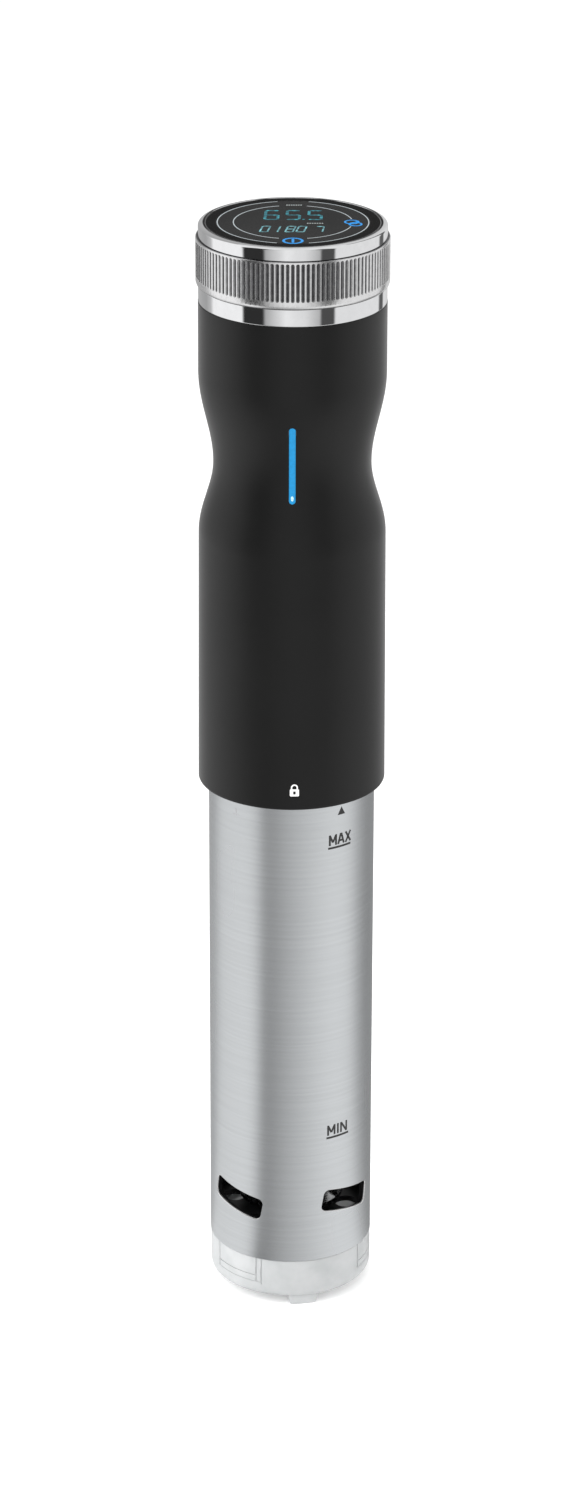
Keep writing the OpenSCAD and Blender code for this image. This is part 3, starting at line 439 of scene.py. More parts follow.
def lathe(name, outline, material, steps=192, start=0.0, sweep=360.0):
    """Closed solid swept round Z from a closed outline of (radius, z) points; a part sweep gets end faces."""
    built = bmesh.new()
    whole = sweep >= 360.0
    columns = steps if whole else steps + 1
    turns = [start + sweep * i / steps for i in range(columns)]
    rings = [[built.verts.new(point(r, a, z)) for r, z in outline] for a in turns]
    if whole:
        skin(built, rings, True)
    else:
        solid(built, rings)
    bmesh.ops.remove_doubles(built, verts=built.verts, dist=1e-7)
    return from_bmesh(name, built, material)


def rounded(points, radius, steps=4):
    """Closed outline with each corner cut to an arc, as a quadratic curve between its two sides."""
    made = []
    count = len(points)
    for i in range(count):
        before, here, after = (Vector(points[j % count]) for j in (i - 1, i, i + 1))
        reach = min(radius, (before - here).length * 0.45, (after - here).length * 0.45)
        a = here + (before - here).normalized() * reach
        b = here + (after - here).normalized() * reach
        for s in range(steps + 1):
            t = s / steps
            made.append(tuple(a * (1 - t) ** 2 + here * 2 * t * (1 - t) + b * t * t))
    return made


def cut(piece, cutters, sharp=34):
    """Takes the cutters' volume out of a piece and removes them."""
    for cutter in cutters:
        modifier = piece.modifiers.new("cut", "BOOLEAN")
        modifier.operation = "DIFFERENCE"
        modifier.solver = "EXACT"
        modifier.object = cutter
    applied(piece)
    for cutter in cutters:
        bpy.data.objects.remove(cutter)
    return smoothed(piece, sharp)


def prism(name, outline, place, right, up, depth):
    """Cutter from a flat outline of (right, up) points, pushed back along right x up by depth."""
    built = bmesh.new()
    right, up = Vector(right).normalized(), Vector(up).normalized()
    front = [built.verts.new(Vector(place) + right * x + up * y) for x, y in outline]
    rear = [built.verts.new(v.co + right.cross(up) * depth) for v in front]
    solid(built, [front, rear])
    return from_bmesh(name, built, BLACK_INK)


def swept(name, path, radius, material, sides=16):
    """Round wire or rod along a path; the side direction is carried along, so that it never twists."""
    built = bmesh.new()
    rings = []
    side = Vector((0.36, 0.48, 0.8))
    for i, here in enumerate(path):
        along = (path[min(i + 1, len(path) - 1)] - path[max(i - 1, 0)]).normalized()
        side = (side - along * side.dot(along)).normalized()
        across = along.cross(side)
        rings.append([built.verts.new(here + side * x + across * y) for x, y in disc_outline(radius, sides)])
    solid(built, rings)
    return from_bmesh(name, built, material, 50)


def disc_outline(radius, steps=40):
    return arc((0, 0), radius, 0, 360, steps)[:-1]


def finish(node):
    """The material of a CAD node's slot."""
    return SLOT_MATERIALS[node_slot[node]]


def settled(piece, body, slot, *replaced):
    """Puts a finished piece on its body and hides the nodes it stands for. The slot argument is not used."""
    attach(piece, body)
    if replaced:
        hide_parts(*replaced)
    return piece


def stands_for(piece, node):
    """Puts a finished piece in the place of a CAD node, on its body."""
    return settled(piece, node_body[node], node_slot[node], node)


def bevelled(piece, width, segments, sharp):
    """Rounds the hard edges of a piece."""
    modifier = piece.modifiers.new("rounded_edges", "BEVEL")
    modifier.width = width
    modifier.segments = segments
    modifier.limit_method = "ANGLE"
    modifier.angle_limit = math.radians(40)
    return smoothed(applied(piece), sharp)


def refined(node, width):
    """A copy of a CAD node with its flat faces joined and its hard edges rounded, which stands for it."""
    built = bmesh.new()
    built.from_mesh(frame["nodes"][node].data)
    bmesh.ops.remove_doubles(built, verts=built.verts, dist=1e-6)
    bmesh.ops.dissolve_limit(built, angle_limit=math.radians(0.5), verts=built.verts, edges=built.edges)
    piece = from_bmesh(node + ".finished", built, finish(node))
    return stands_for(bevelled(piece, width, 2, 50), node)


# ------------------------ sizes taken from the frame


def extent(node):
    """Lowest z, highest z and half the width of a CAD node."""
    low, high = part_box(node)
    return low.z, high.z, (high.x - low.x) / 2


TUBE_LOW, TUBE_HIGH, TUBE_R = extent("tube_sleeve")
BODY_LOW, BODY_HIGH, BODY_R = extent("front_shell")
BAND_LOW, BAND_HIGH, BAND_R = extent("lower_band")
DIAL_LOW, DIAL_HIGH, DIAL_R = extent("dial_ring")
RIM_LOW, RIM_HIGH, RIM_R = extent("lens_bezel")
LENS_LOW, LENS_HIGH, LENS_R = extent("display_lens")
FOOT_H = 3.1 * MM
CAP_LOW, CAP_TOP = FOOT_H, TUBE_LOW

# ------------------------ housing shells

SHELL_WALL = 2.6 * MM
BODY_TAPER = 0.45 * MM
CROWN_TAPER = 0.15 * MM
WAIST_DEPTH = 4.95 * MM
WAIST_Z = BODY_LOW + 114 * MM
WAIST_UP = 32 * MM
WAIST_DOWN = 25 * MM
SPLIT_GAP = 0.04 * MM
LIGHT_W = 2.3 * MM
LIGHT_LOW = WAIST_Z - 6.2 * MM
LIGHT_HIGH = LIGHT_LOW + 27.5 * MM


def body_radius(z):
    """Outer radius of the housing: a slight taper with a smooth waist in it."""
    belt = BODY_R - BODY_TAPER
    belt_z = WAIST_Z - WAIST_DOWN
    if z < belt_z:
        plain = BODY_R + (belt - BODY_R) * (z - BODY_LOW) / (belt_z - BODY_LOW)
    else:
        plain = belt - CROWN_TAPER * (z - belt_z) / (BODY_HIGH - belt_z)
    t = (z - WAIST_Z) / (WAIST_UP if z > WAIST_Z else WAIST_DOWN)
    dip = WAIST_DEPTH * (1 + math.cos(math.pi * t)) / 2 if abs(t) < 1 else 0.0
    return plain - dip


def shell_outline():
    """Closed outline of the housing's wall, closely spaced through the waist."""
    edge = 0.5 * MM
    low, high = WAIST_Z - WAIST_DOWN, WAIST_Z + WAIST_UP
    heights = [BODY_LOW + edge * 2 + (low - BODY_LOW - 2 * edge) * i / 12 for i in range(12)]
    heights += [low + (high - low) * i / 44 for i in range(44)]
    heights += [high + (BODY_HIGH - 0.25 * MM - high) * i / 6 for i in range(7)]
    outer = offset((body_radius(BODY_LOW), BODY_LOW), (-0.5, 0), (-0.15, 0.15), (0, 0.5))
    outer += [(body_radius(z), z) for z in heights]
    outer += offset((body_radius(BODY_HIGH), BODY_HIGH), (-0.2, 0))
    inner = [(body_radius(z) - SHELL_WALL, z) for z in (BODY_HIGH, high, WAIST_Z + 0.5 * WAIST_UP, WAIST_Z,
                                                        WAIST_Z - 0.5 * WAIST_DOWN, low, BODY_LOW)]
    return outer + inner


def stadium(half_w, low, high, steps=12):
    """Upright outline with round ends, as (right, up) points."""
    return arc((0, high - half_w), half_w, 0, 180, steps) + arc((0, low + half_w), half_w, 180, 360, steps)


def shell_half(node, start):
    """Half of the housing's wall, from a start angle, with half of the gap at each end."""
    gap = math.degrees(SPLIT_GAP / BODY_R)
    return lathe(node + ".skin", shell_outline(), finish(node), 110, start + gap, 180 - 2 * gap)


def round_hole(radius, x, z):
    """Cutter for a round hole through the back of the housing."""
    return prism("round_hole", disc_outline(radius), (x, 15 * MM, z), (-1, 0, 0), (0, 0, 1), 25 * MM)


def make_shells():
    front = shell_half("front_shell", -90)
    cut(front, [prism("light_slot", stadium(LIGHT_W / 2, LIGHT_LOW, LIGHT_HIGH), (0, -BODY_R - 2 * MM, 0),
                      (1, 0, 0), (0, 0, 1), -16 * MM)])
    stands_for(front, "front_shell")

    rear = shell_half("rear_shell", 90)
    low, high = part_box("shell_screws")
    head_r = 2.3 * MM
    cutters = [round_hole(2.7 * MM, x, z) for z in (low.z + head_r, high.z - head_r)
               for x in (head_r - high.x, high.x - head_r)]
    cutters.append(round_hole(5.6 * MM, 0, sum(extent("cord_gland")[:2]) / 2))
    cut(rear, cutters)
    stands_for(rear, "rear_shell")


def make_light_guide():
    """The light bar follows the waist and sits a hair below the skin."""
    built = bmesh.new()
    rows, columns = 60, 8
    half = LIGHT_W / 2 - 0.06 * MM
    low, high = LIGHT_LOW + 0.06 * MM, LIGHT_HIGH - 0.06 * MM
    rings = []
    for i in range(rows + 1):
        z = low + (high - low) * (0.5 - 0.5 * math.cos(math.pi * i / rows))
        end = min(z - low, high - z)
        width = half if end >= half else math.sqrt(max(1e-12, half * half - (half - end) ** 2))
        face = []
        for u in (2 * k / columns - 1 for k in range(columns + 1)):
            crown = 0.10 * MM * (1 - u * u)
            face.append((width * u, -math.sqrt(body_radius(z) ** 2 - (width * u) ** 2) + 0.16 * MM - crown, z))
        back = [(x, y + 2.2 * MM, z) for x, y, z in face[::-1]]
        rings.append([built.verts.new(p) for p in face + back])
    solid(built, rings)
    stands_for(from_bmesh("light_guide.bar", built, finish("light_guide"), 50), "light_guide")
    # Painted highlight: a small glowing spot on the skin at the bar's lower end.
    narrow = [(x * 0.55, y) for x, y in disc_outline(0.85, 20)]
    wrapped("light_guide.painted_glint", "housing", "light_blue", [narrow], 0, LIGHT_LOW + 1.9 * MM,
            lambda h: body_radius(h) - 0.05 * MM, PAINTED_GLINT)


# ------------------------ head: band, dial, rim, lens


def make_band():
    wall = 2.4 * MM
    outline = rounded(oblong(BAND_R - wall, BAND_LOW, wall, BAND_HIGH - BAND_LOW), 0.35 * MM)
    stands_for(lathe("lower_band.ring", outline, finish("lower_band"), 256), "lower_band")


FLUTES = 120
FLUTE_DEPTH = 0.55 * MM


def make_dial():
    """Chrome ring with upright flutes that end in arches, between bevelled edges."""
    pitch = 360.0 / FLUTES
    half = 0.37 * pitch
    arch = math.radians(half) * DIAL_R
    across = (-0.5 / 0.37, -1.0, -0.82, -0.5, 0.0, 0.5, 0.82, 1.0)
    low, high = DIAL_LOW + 2.1 * MM, DIAL_HIGH - 0.55 * MM
    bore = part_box("dial_gear")[1].x + 0.02 * MM
    heights = [low + arch * (1 - math.cos(math.pi / 2 * i / 5)) for i in range(6)]
    heights += [low + arch + (high - low - 2 * arch) * i / 4 for i in range(1, 4)]
    heights += [high - arch + arch * math.sin(math.pi / 2 * i / 7) for i in range(8)]
    lip = DIAL_LOW - 0.28 * MM
    plain_low = [(bore, DIAL_LOW)] + offset((DIAL_R, DIAL_LOW), (-1.0, 0))
    plain_low += offset((DIAL_R, lip), (-1.0, 0), (-0.42, 0), (-0.28, 0.08), (-0.08, 0.6), (0, 0.9))
    plain_high = offset((DIAL_R, DIAL_HIGH), (0, -0.42), (-0.14, -0.12), (-0.42, 0)) + [(bore, DIAL_HIGH)]
    built = bmesh.new()
    columns = []
    for flute in range(FLUTES):
        for u in across:
            column = [point(r, flute * pitch + u * half, z) for r, z in plain_low]
            for z in heights:
                end = min(z - low, high - z)
                narrow = 1.0 if end >= arch else math.sqrt(max(0.0004, 1 - (1 - end / arch) ** 2))
                inside = abs(u) <= 1.0
                depth = FLUTE_DEPTH * (1 - u * u) * narrow if inside else 0.0
                angle = flute * pitch + (u * narrow if inside else u) * half
                column.append(point(DIAL_R - depth, angle, z))
            column += [point(r, flute * pitch + u * half, z) for r, z in plain_high]
            columns.append([built.verts.new(p) for p in column])
    skin(built, columns, True)
    stands_for(from_bmesh("dial_ring.fluted", built, DIAL_METAL, 28), "dial_ring")


def make_rim():
    """Chrome rim whose top edge rolls over towards the lens."""
    inner_low = extent("display_board")[2] - 0.2 * MM
    wide, tall = RIM_R - LENS_R - 0.30 * MM, 1.05 * MM
    lip = RIM_LOW - 0.18 * MM
    outline = [(inner_low, RIM_LOW)] + offset((RIM_R, RIM_LOW), (-1.2, 0))
    outline += offset((RIM_R, lip), (-1.2, 0), (-0.15, 0), (-0.04, 0.04), (0, 0.15))
    turns = [math.radians(a) for a in range(0, 91, 6)]
    outline += [(RIM_R - wide + wide * math.cos(a), RIM_HIGH - tall + tall * math.sin(a)) for a in turns]
    outline += offset((LENS_R, RIM_HIGH), (0.12, -0.06), (0.05, -0.25))
    outline += offset((LENS_R, LENS_LOW), (0.05, 0)) + [(inner_low, LENS_LOW)]
    stands_for(lathe("lens_bezel.ring", outline, finish("lens_bezel"), 256), "lens_bezel")


def make_lens():
    outline = [(0.0, LENS_LOW)] + offset((LENS_R, LENS_LOW), (-0.1, 0), (0, 0.1))
    outline += offset((LENS_R, LENS_HIGH), (0, -0.25), (-0.08, -0.07), (-0.25, 0), (-0.6, 0))
    outline += [(0.0, LENS_HIGH)]
    stands_for(lathe("display_lens.disc", outline, finish("display_lens")), "display_lens")


# ------------------------ display graphics, on the lens

GRAPHIC_LEVELS = (LENS_HIGH + 0.012 * MM, LENS_HIGH + 0.032 * MM)


def flat_solid(built, outline):
    """Adds a thin flat solid on the lens from (x right, y away) points in millimetres."""
    low, high = ([built.verts.new((x * MM, y * MM, z)) for x, y in outline] for z in GRAPHIC_LEVELS)
    solid(built, [high, low])


def flat_arc(built, centre, radius, width, start, end, steps=48):
    """Thin arc from start to end, in degrees to the right of the front, round a centre."""
    for i in range(steps):
        a, b = (math.radians(start + (end - start) * j / steps) for j in (i, i + 1))
        ring = [(radius + s * width / 2, t) for t, s in ((a, -1), (a, 1), (b, 1), (b, -1))]
        flat_solid(built, [(centre[0] + r * math.sin(t), centre[1] - r * math.cos(t)) for r, t in ring])


def flat_bar(built, a, b, width):
    """Straight stroke between two points, with pointed ends like a display's segment."""
    start, end = Vector(a), Vector(b)
    along = (end - start).normalized()
    side = Vector((-along.y, along.x)) * width / 2
    tip = along * width / 2
    flat_solid(built, [tuple(p) for p in (start, start + tip + side, end - tip + side, end, end - tip - side,
                                          start + tip - side)])


# Segments: top, upper right, lower right, bottom, lower left, upper left, middle
SEGMENTS = {"0": "abcdef", "1": "bc", "3": "abcdg", "5": "acdfg", "6": "acdefg", "7": "abc", "8": "abcdefg"}


def seven_segment(built, digit, x, y, width, height, stroke, lean=0.0):
    """Draws one digit with its lower left corner at x, y."""
    def at(u, v):
        return (x + u * width + lean * v * height, y + v * height)
    ends = {"a": ((0, 1), (1, 1)), "b": ((1, 1), (1, 0.5)), "c": ((1, 0.5), (1, 0)), "d": ((1, 0), (0, 0)),
            "e": ((0, 0), (0, 0.5)), "f": ((0, 0.5), (0, 1)), "g": ((0, 0.5), (1, 0.5))}
    for segment in SEGMENTS[digit]:
        flat_bar(built, at(*ends[segment][0]), at(*ends[segment][1]), stroke)


def draw_rings(built):
    """Outer and inner line round the window; both leave room for the icons and the cooking mark."""
    outer, inner, line = 24.9, 19.6, 0.34
    gap = math.degrees(math.asin(5.2 / outer))
    flat_arc(built, (0, 0), outer, line, gap, 180 - gap, 90)
    flat_arc(built, (0, 0), outer, line, 180 + gap, 360 - gap, 90)
    gap = math.degrees(math.asin(4.6 / inner))
    for start, end, steps in ((gap, 75, 36), (101, 180 - gap, 36), (180 + gap, 360 - gap, 72)):
        flat_arc(built, (0, 0), inner, line, start, end, steps)


def draw_small_bars(built):
    """Two rows of plain bars in the place of small words."""
    for i in range(7):
        flat_solid(built, oblong(-2.3 + 0.78 * i, 19.7, 0.55, 0.9))
    for i in range(7):
        flat_solid(built, oblong(4.6 + 0.8 * i, -1.9, 0.5, 0.8))


def draw_upper_digits(built):
    for digit, x in (("6", -9.3), ("5", -2.2), ("5", 5.0)):
        seven_segment(built, digit, x, 3.0, 4.2, 10.4, 0.95, 0.04)
    flat_solid(built, oblong(3.1, 2.6, 0.8, 0.9))


def draw_lower_digits(built):
    for digit, x in (("0", -10.9), ("1", -7.6), ("8", -2.6), ("0", 1.0)):
        seven_segment(built, digit, x, -11.6, 2.5, 6.6, 0.55, 0.16)
    seven_segment(built, "7", 7.2, -11.4, 2.4, 6.2, 0.55, 0.1)


def draw_power_icon(built):
    flat_arc(built, (0, -21.9), 3.05, 0.85, 0, 360, 48)
    flat_bar(built, (0, -24.2), (0, -19.6), 0.85)


def draw_mode_icon(built):
    flat_arc(built, (19.3, 0.2), 2.2, 0.65, 0, 360, 36)
    flat_arc(built, (20.5, -2.4), 2.0, 0.65, 0, 360, 36)
    flat_bar(built, (18.4, -3.0), (21.6, 1.6), 0.6)


GRAPHICS = [("rings", draw_rings, LENS_WHITE), ("small_bars", draw_small_bars, LENS_GREY),
            ("upper_digits", draw_upper_digits, DIGIT_TEAL), ("lower_digits", draw_lower_digits, DIGIT_PALE),
            ("power_icon", draw_power_icon, ICON_BLUE), ("mode_icon", draw_mode_icon, ICON_BLUE)]


def make_display():
    for name, draw, material in GRAPHICS:
        built = bmesh.new()
        draw(built)
        settled(from_bmesh("display." + name, built, material), "housing", "lens_black")


# ------------------------ steel tube

TUBE_WALL = 0.8 * MM
SLOT_TURNS = (-43.0, 45.6, 137.0, 227.0)
SLOT_ANGLE = 45.0
SLOT_H = 8.6 * MM
SLOT_MID = TUBE_LOW + 21.1 * MM
SLOT_RISE = 3.8 * MM


def slot_outline(grow=0.0, steps=6):
    """Rounded rectangle, leaning down to the right, as (right, up) points from the slot's middle."""
    width = 2 * TUBE_R * math.sin(math.radians(SLOT_ANGLE / 2))
    half_w, half_h = width / 2 + grow, SLOT_H / 2 + grow
    corner = 2.2 * MM + grow
    lean = -math.degrees(math.atan2(SLOT_RISE, width))
    made = []
    for quarter, (sx, sy) in enumerate(((1, 1), (-1, 1), (-1, -1), (1, -1))):
        middle = (sx * (half_w - corner), sy * (half_h - corner))
        made += arc(middle, corner, 90 * quarter, 90 * quarter + 90, steps)
    return [turned((x, y, 0), lean)[:2] for x, y in made]


def slot_cutter(angle):
    return prism("slot_cutter", slot_outline(), point(TUBE_R + 3 * MM, angle, SLOT_MID),
                 turned((1, 0, 0), angle), (0, 0, 1), -14 * MM)


def make_sleeve():
    inner = TUBE_R - TUBE_WALL
    edge = 0.18 * MM
    low, high = TUBE_LOW + edge, TUBE_HIGH - edge
    outline = [(TUBE_R - edge, TUBE_LOW)] + [(TUBE_R, low + (high - low) * i / 30) for i in range(31)]
    outline += [(TUBE_R - edge, TUBE_HIGH), (inner, TUBE_HIGH), (inner, TUBE_LOW)]
    sleeve = lathe("tube_sleeve.steel", outline, finish("tube_sleeve"), 240)
    cut(sleeve, [slot_cutter(angle) for angle in SLOT_TURNS])
    stands_for(sleeve, "tube_sleeve")
    for number, angle in enumerate(SLOT_TURNS):
        make_slot_lip(number, angle)


def make_slot_lip(number, angle):
    """Smoothed edge of a punched slot: a fine bead that follows the cut in the tube's wall."""
    built = bmesh.new()
    bead = 0.30 * MM
    radius = TUBE_R - TUBE_WALL / 2
    dense = []
    outline = slot_outline(0.02 * MM, 8)
    for i, a in enumerate(outline):
        b = outline[(i + 1) % len(outline)]
        pieces = max(1, round(math.dist(a, b) / (1.2 * MM)))
        dense += [Vector(a).lerp(Vector(b), k / pieces) for k in range(pieces)]
    turns = [angle + math.degrees(math.asin(x / radius)) for x, y in dense]
    path = [Vector(point(radius, a, SLOT_MID + p.y)) for a, p in zip(turns, dense)]
    rings = []
    for i, here in enumerate(path):
        along = (path[(i + 1) % len(path)] - path[i - 1]).normalized()
        out = Vector((here.x, here.y, 0)).normalized()
        side = along.cross(out).normalized()
        turns = [2 * math.pi * k / 10 for k in range(10)]
        rings.append([built.verts.new(here + out * math.cos(a) * TUBE_WALL / 2 + side * math.sin(a) * bead)
                      for a in turns])
    skin(built, rings, True)
    piece = from_bmesh(f"slot_lip.{number}", built, CUT_EDGE, 60)
    settled(piece, "tube", "steel_brushed")


# ------------------------ printed marks, wrapped on a round wall


def sliced(outline, width):
    """Cuts a convex outline into upright strips no wider than a width, so that it can follow a round wall."""
    low, high = min(p[0] for p in outline), max(p[0] for p in outline)
    count = max(1, math.ceil((high - low) / width))
    strips = []
    for i in range(count):
        strip = outline
        for edge, keep in ((low + (high - low) * i / count, 1), (low + (high - low) * (i + 1) / count, -1)):
            kept = []
            for a, b in zip(strip, strip[1:] + strip[:1]):
                da, db = (a[0] - edge) * keep, (b[0] - edge) * keep
                if da >= 0:
                    kept.append(a)
                if (da > 0 > db) or (da < 0 < db):
                    share = da / (da - db)
                    kept.append((a[0] + (b[0] - a[0]) * share, a[1] + (b[1] - a[1]) * share))
            strip = kept
        if len(strip) > 2:
            strips.append(strip)
    return strips


def wrapped(name, body, slot, outlines, angle, z, radius_at, material):
    """Thin printed shapes on a round wall. Outlines are (right, up) points in millimetres from angle and z."""
    built = bmesh.new()
    for outline in (strip for whole in outlines for strip in sliced(whole, 0.5)):
        face, back = [], []
        for u, v in outline:
            height = z + v * MM
            radius = radius_at(height)
            a = angle + math.degrees(u * MM / radius)
            face.append(built.verts.new(point(radius + 0.03 * MM, a, height)))
            back.append(built.verts.new(point(radius - 0.05 * MM, a, height)))
        solid(built, [face, back])
    settled(from_bmesh(name, built, material, 30), body, slot)


def tube_mark(name, outlines, angle, height, ink=BLACK_INK):
    """Printed mark at a height in millimetres over the tube's lower end."""
    wrapped("tube_mark." + name, "tube", "steel_brushed", outlines, angle, TUBE_LOW + height * MM,
            lambda h: TUBE_R, ink)


def stroke(a, b, width):
    """Outline of a straight stroke between two (right, up) points."""
    start, end = Vector(a), Vector(b)
    along = (end - start).normalized()
    side = Vector((along.y, -along.x)) * width / 2
    return [tuple(p) for p in (start + side, end + side, end - side, start - side)]


# Strokes of each letter, from corner (0, 0) to corner (1, 1)
LETTERS = {
    "M": [((0.08, 0), (0.08, 1)), ((0.08, 0.95), (0.5, 0.28)), ((0.5, 0.28), (0.92, 0.95)),
          ((0.92, 0), (0.92, 1))],
    "A": [((0.04, 0), (0.46, 1)), ((0.54, 1), (0.96, 0)), ((0.2, 0.33), (0.8, 0.33))],
    "X": [((0.06, 0), (0.94, 1)), ((0.06, 1), (0.94, 0))],
    "I": [((0.5, 0), (0.5, 1))],
    "N": [((0.08, 0), (0.08, 1)), ((0.1, 0.96), (0.9, 0.04)), ((0.92, 0), (0.92, 1))],
}
MARK_TURN = 35.6


def level_mark(word, height, widths):
    """Level mark on the tube: a short word, with a width for each letter, over a line."""
    tall, pen, between, over_line = 3.9, 0.74, 0.55, 1.3
    line_w, line_h, steps = 9.4, 0.75, 12
    outlines = []
    x = -4.3
    for letter, width in zip(word, widths):
        for ends in LETTERS[letter]:
            outline = stroke(*((u * width, v * tall) for u, v in ends), pen)
            outlines.append([(u + x, v + over_line) for u, v in outline])
        x += width + between
    outlines += [oblong(line_w * (i / steps - 0.5), 0, line_w / steps, line_h) for i in range(steps)]
    tube_mark(word.lower(), outlines, MARK_TURN, height)


def make_marks():
    level_mark("MAX", 157.4, (2.9, 2.6, 2.5))
    level_mark("MIN", 46.9, (3.1, 1.2, 2.9))
    tube_mark("triangle", [[(-1.55, 0), (1.55, 0), (0, 2.9)]], 36.7, 169.5)
    tube_mark("rest_line", [oblong(-1.4, 0, 2.8, 0.3), oblong(-0.2, 0.5, 0.4, 1.8)], -41.5, 168.6, FAINT_INK)
    make_padlock()


def make_padlock():
    """Closed padlock on the housing, over the tube: a body with a keyhole and a shackle."""
    w, h, cut_corner, keyhole = 1.55, 2.55, 0.25, 0.42
    half = [(keyhole, 0), (w - cut_corner, 0), (w, cut_corner), (w, h - cut_corner), (w - cut_corner, h),
            (keyhole, h)]
    parts = [[(x * side, y) for x, y in half] for side in (-1, 1)]
    parts += [oblong(-keyhole, 0, 2 * keyhole, 0.7), oblong(-keyhole, 1.8, 2 * keyhole, h - 1.8)]
    outer, inner, leg = 1.2, 0.72, 0.6
    parts += [oblong(x, h, outer - inner, leg) for x in (-outer, inner)]
    near, far = (arc((0, h + leg), radius, 0, 180, 12) for radius in (inner, outer))
    parts += [list(corners) for corners in zip(near, far, far[1:], near[1:])]
    wrapped("lock_mark", "housing", "black_shell", parts, 1.8, BODY_LOW + 5.2 * MM, body_radius, WHITE_INK)


# ------------------------ foot cap

CAP_R = TUBE_R - 0.2 * MM
CAP_FLOOR = 2.2 * MM
FOOT_W = 10.6 * MM


def make_cap():
    edge, drain_r = 2.6 * MM, 4.0 * MM
    spigot_r, spigot_ri = TUBE_R - 1.0 * MM, TUBE_R - 2.55 * MM
    floor = CAP_LOW + CAP_FLOOR
    outline = [(drain_r, CAP_LOW), (CAP_R - edge, CAP_LOW)]
    outline += arc((CAP_R - edge, CAP_LOW + edge), edge, -80, 0, 8)
    outline += offset((CAP_R, CAP_TOP), (0, -4), (0, -0.35), (-0.3, -0.02))
    outline += offset((spigot_r, CAP_TOP), (0, -0.02), (0, 3.4), (-0.2, 3.6))
    outline += offset((spigot_ri, CAP_TOP), (0, 3.6))
    outline += offset((spigot_ri, floor), (0, 1.2), (-0.4, 0.35), (-1.2, 0)) + [(drain_r, floor)]
    cap = lathe("foot_cap.cup", outline, finish("foot_cap"))
    cutters = []
    for i in range(12):
        angle = 360 * (i + 0.5) / 12
        cutters.append(prism("grille_slot", stadium(1.5 * MM, -6.2 * MM, 4.7 * MM, 8),
                             point(11.75 * MM, angle, CAP_LOW - 1 * MM), turned((1, 0, 0), angle),
                             turned((0, -1, 0), angle), -6 * MM))
    for angle in (-41, 79, 199):
        cutters += latch_lines(angle)
    cut(cap, cutters)
    stands_for(cap, "foot_cap")
    for i in range(3):
        make_foot(i, 10 + 120 * i)


# Lines of a catch: start and sweep in degrees, lowest and highest millimetre over the cap's floor
LATCH_LINES = [(-22, 1.2, 5.2, 14.6), (15.4, 0.8, 5.2, 14.6), (19.4, 0.8, 4.4, 14.6), (-22, 38, 7.6, 7.95),
               (-22, 42, 5.1, 5.45)]


def latch_lines(angle):
    """Cutters for a catch's fine moulded lines: a frame, a double line at its right end, a ledge below."""
    cutters = []
    for start, sweep, low, high in LATCH_LINES:
        outline = offset((CAP_R, CAP_LOW), (-0.28, low), (1, low), (1, high), (-0.28, high))
        cutters.append(lathe("latch_line", outline, BLACK_INK, max(2, round(sweep)), angle + start, sweep))
    return cutters


def make_foot(number, angle):
    """Foot with sloping sides and rounded edges, under the cap's rim."""
    built = bmesh.new()
    out = CAP_R - 1.15 * MM
    inside = 4.8 * MM - out
    outlines = []
    for z, width in ((0.0, FOOT_W - 1.2 * MM), (FOOT_H + 1.2 * MM, FOOT_W)):
        across = [width * (k / 8 - 0.5) for k in range(9)]
        row = [(x, -math.sqrt(out * out - x * x), z) for x in across]
        row += [(width / 2, inside, z), (-width / 2, inside, z)]
        outlines.append([built.verts.new(turned(p, angle)) for p in row])
    solid(built, outlines)
    piece = from_bmesh(f"cap_foot.{number}", built, finish("foot_cap"), 30)
    settled(bevelled(piece, 0.45 * MM, 3, 50), "cap", "frosted_cap")


# ------------------------ heater rod

HEATER_R = 14.6 * MM
RETURN_R = 8.1 * MM
ROD_R = 3 * MM
HEATER_LOW, HEATER_TOP = TUBE_LOW + 45.2 * MM, TUBE_LOW + 169.8 * MM
HEATER_TURNS = 6


def make_heater():
    """Heater rod: down beside the shaft, round in six and a half turns, and up again inside them."""
    bend = 7 * MM
    leg_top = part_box("heater_coil")[1].z
    winding = 2 * math.pi * HEATER_R * (HEATER_TURNS + 0.5) - 2 * bend

    def wound(radius, arc, z):
        a = arc / HEATER_R
        return Vector((radius * math.cos(a), radius * math.sin(a), z))

    path = [Vector((HEATER_R, 0, leg_top)), Vector((HEATER_R, 0, (leg_top + HEATER_TOP + bend) / 2))]
    for i in range(12):
        a = math.pi / 2 * i / 12
        path.append(wound(HEATER_R, bend * (1 - math.cos(a)), HEATER_TOP + bend - bend * math.sin(a)))
    steps = 40 * HEATER_TURNS
    for i in range(steps + 1):
        t = i / steps
        path.append(wound(HEATER_R, bend + winding * t, HEATER_TOP + (HEATER_LOW - HEATER_TOP) * t))
    for i in range(1, 16):
        a, t = math.pi / 2 * i / 15, i / 15
        inwards = (RETURN_R - HEATER_R) * t * t * (3 - 2 * t)
        path.append(wound(HEATER_R + inwards, bend + winding + bend * math.sin(a),
                          HEATER_LOW + bend * (1 - math.cos(a))))
    path += [Vector((-RETURN_R, 0, HEATER_LOW + bend + 8 * MM)), Vector((-RETURN_R, 0, leg_top))]
    stands_for(swept("heater_coil.rod", path, ROD_R, finish("heater_coil"), 20), "heater_coil")


# ------------------------ CAD shapes that only get rounded edges

# Width of the rounding in millimetres, with the nodes that get it
ROUNDED_NODES = {
    0.05: ("dial_gear",),
    0.1: ("temperature_probe", "collar_pins", "base_screws"),
    0.15: ("pump_impeller", "impeller_nut", "shell_screws"),
    0.2: ("pump_liner", "cap_clips", "tube_collar", "bayonet_ring", "lock_ring", "base_plate",
          "heater_flange", "shaft_bush", "head_frame"),
    0.25: ("level_probes",),
    0.3: ("drive_shaft", "clamp_pad"),
    0.4: ("cord_gland", "clamp_pin"),
    0.6: ("clamp_bracket",),
}


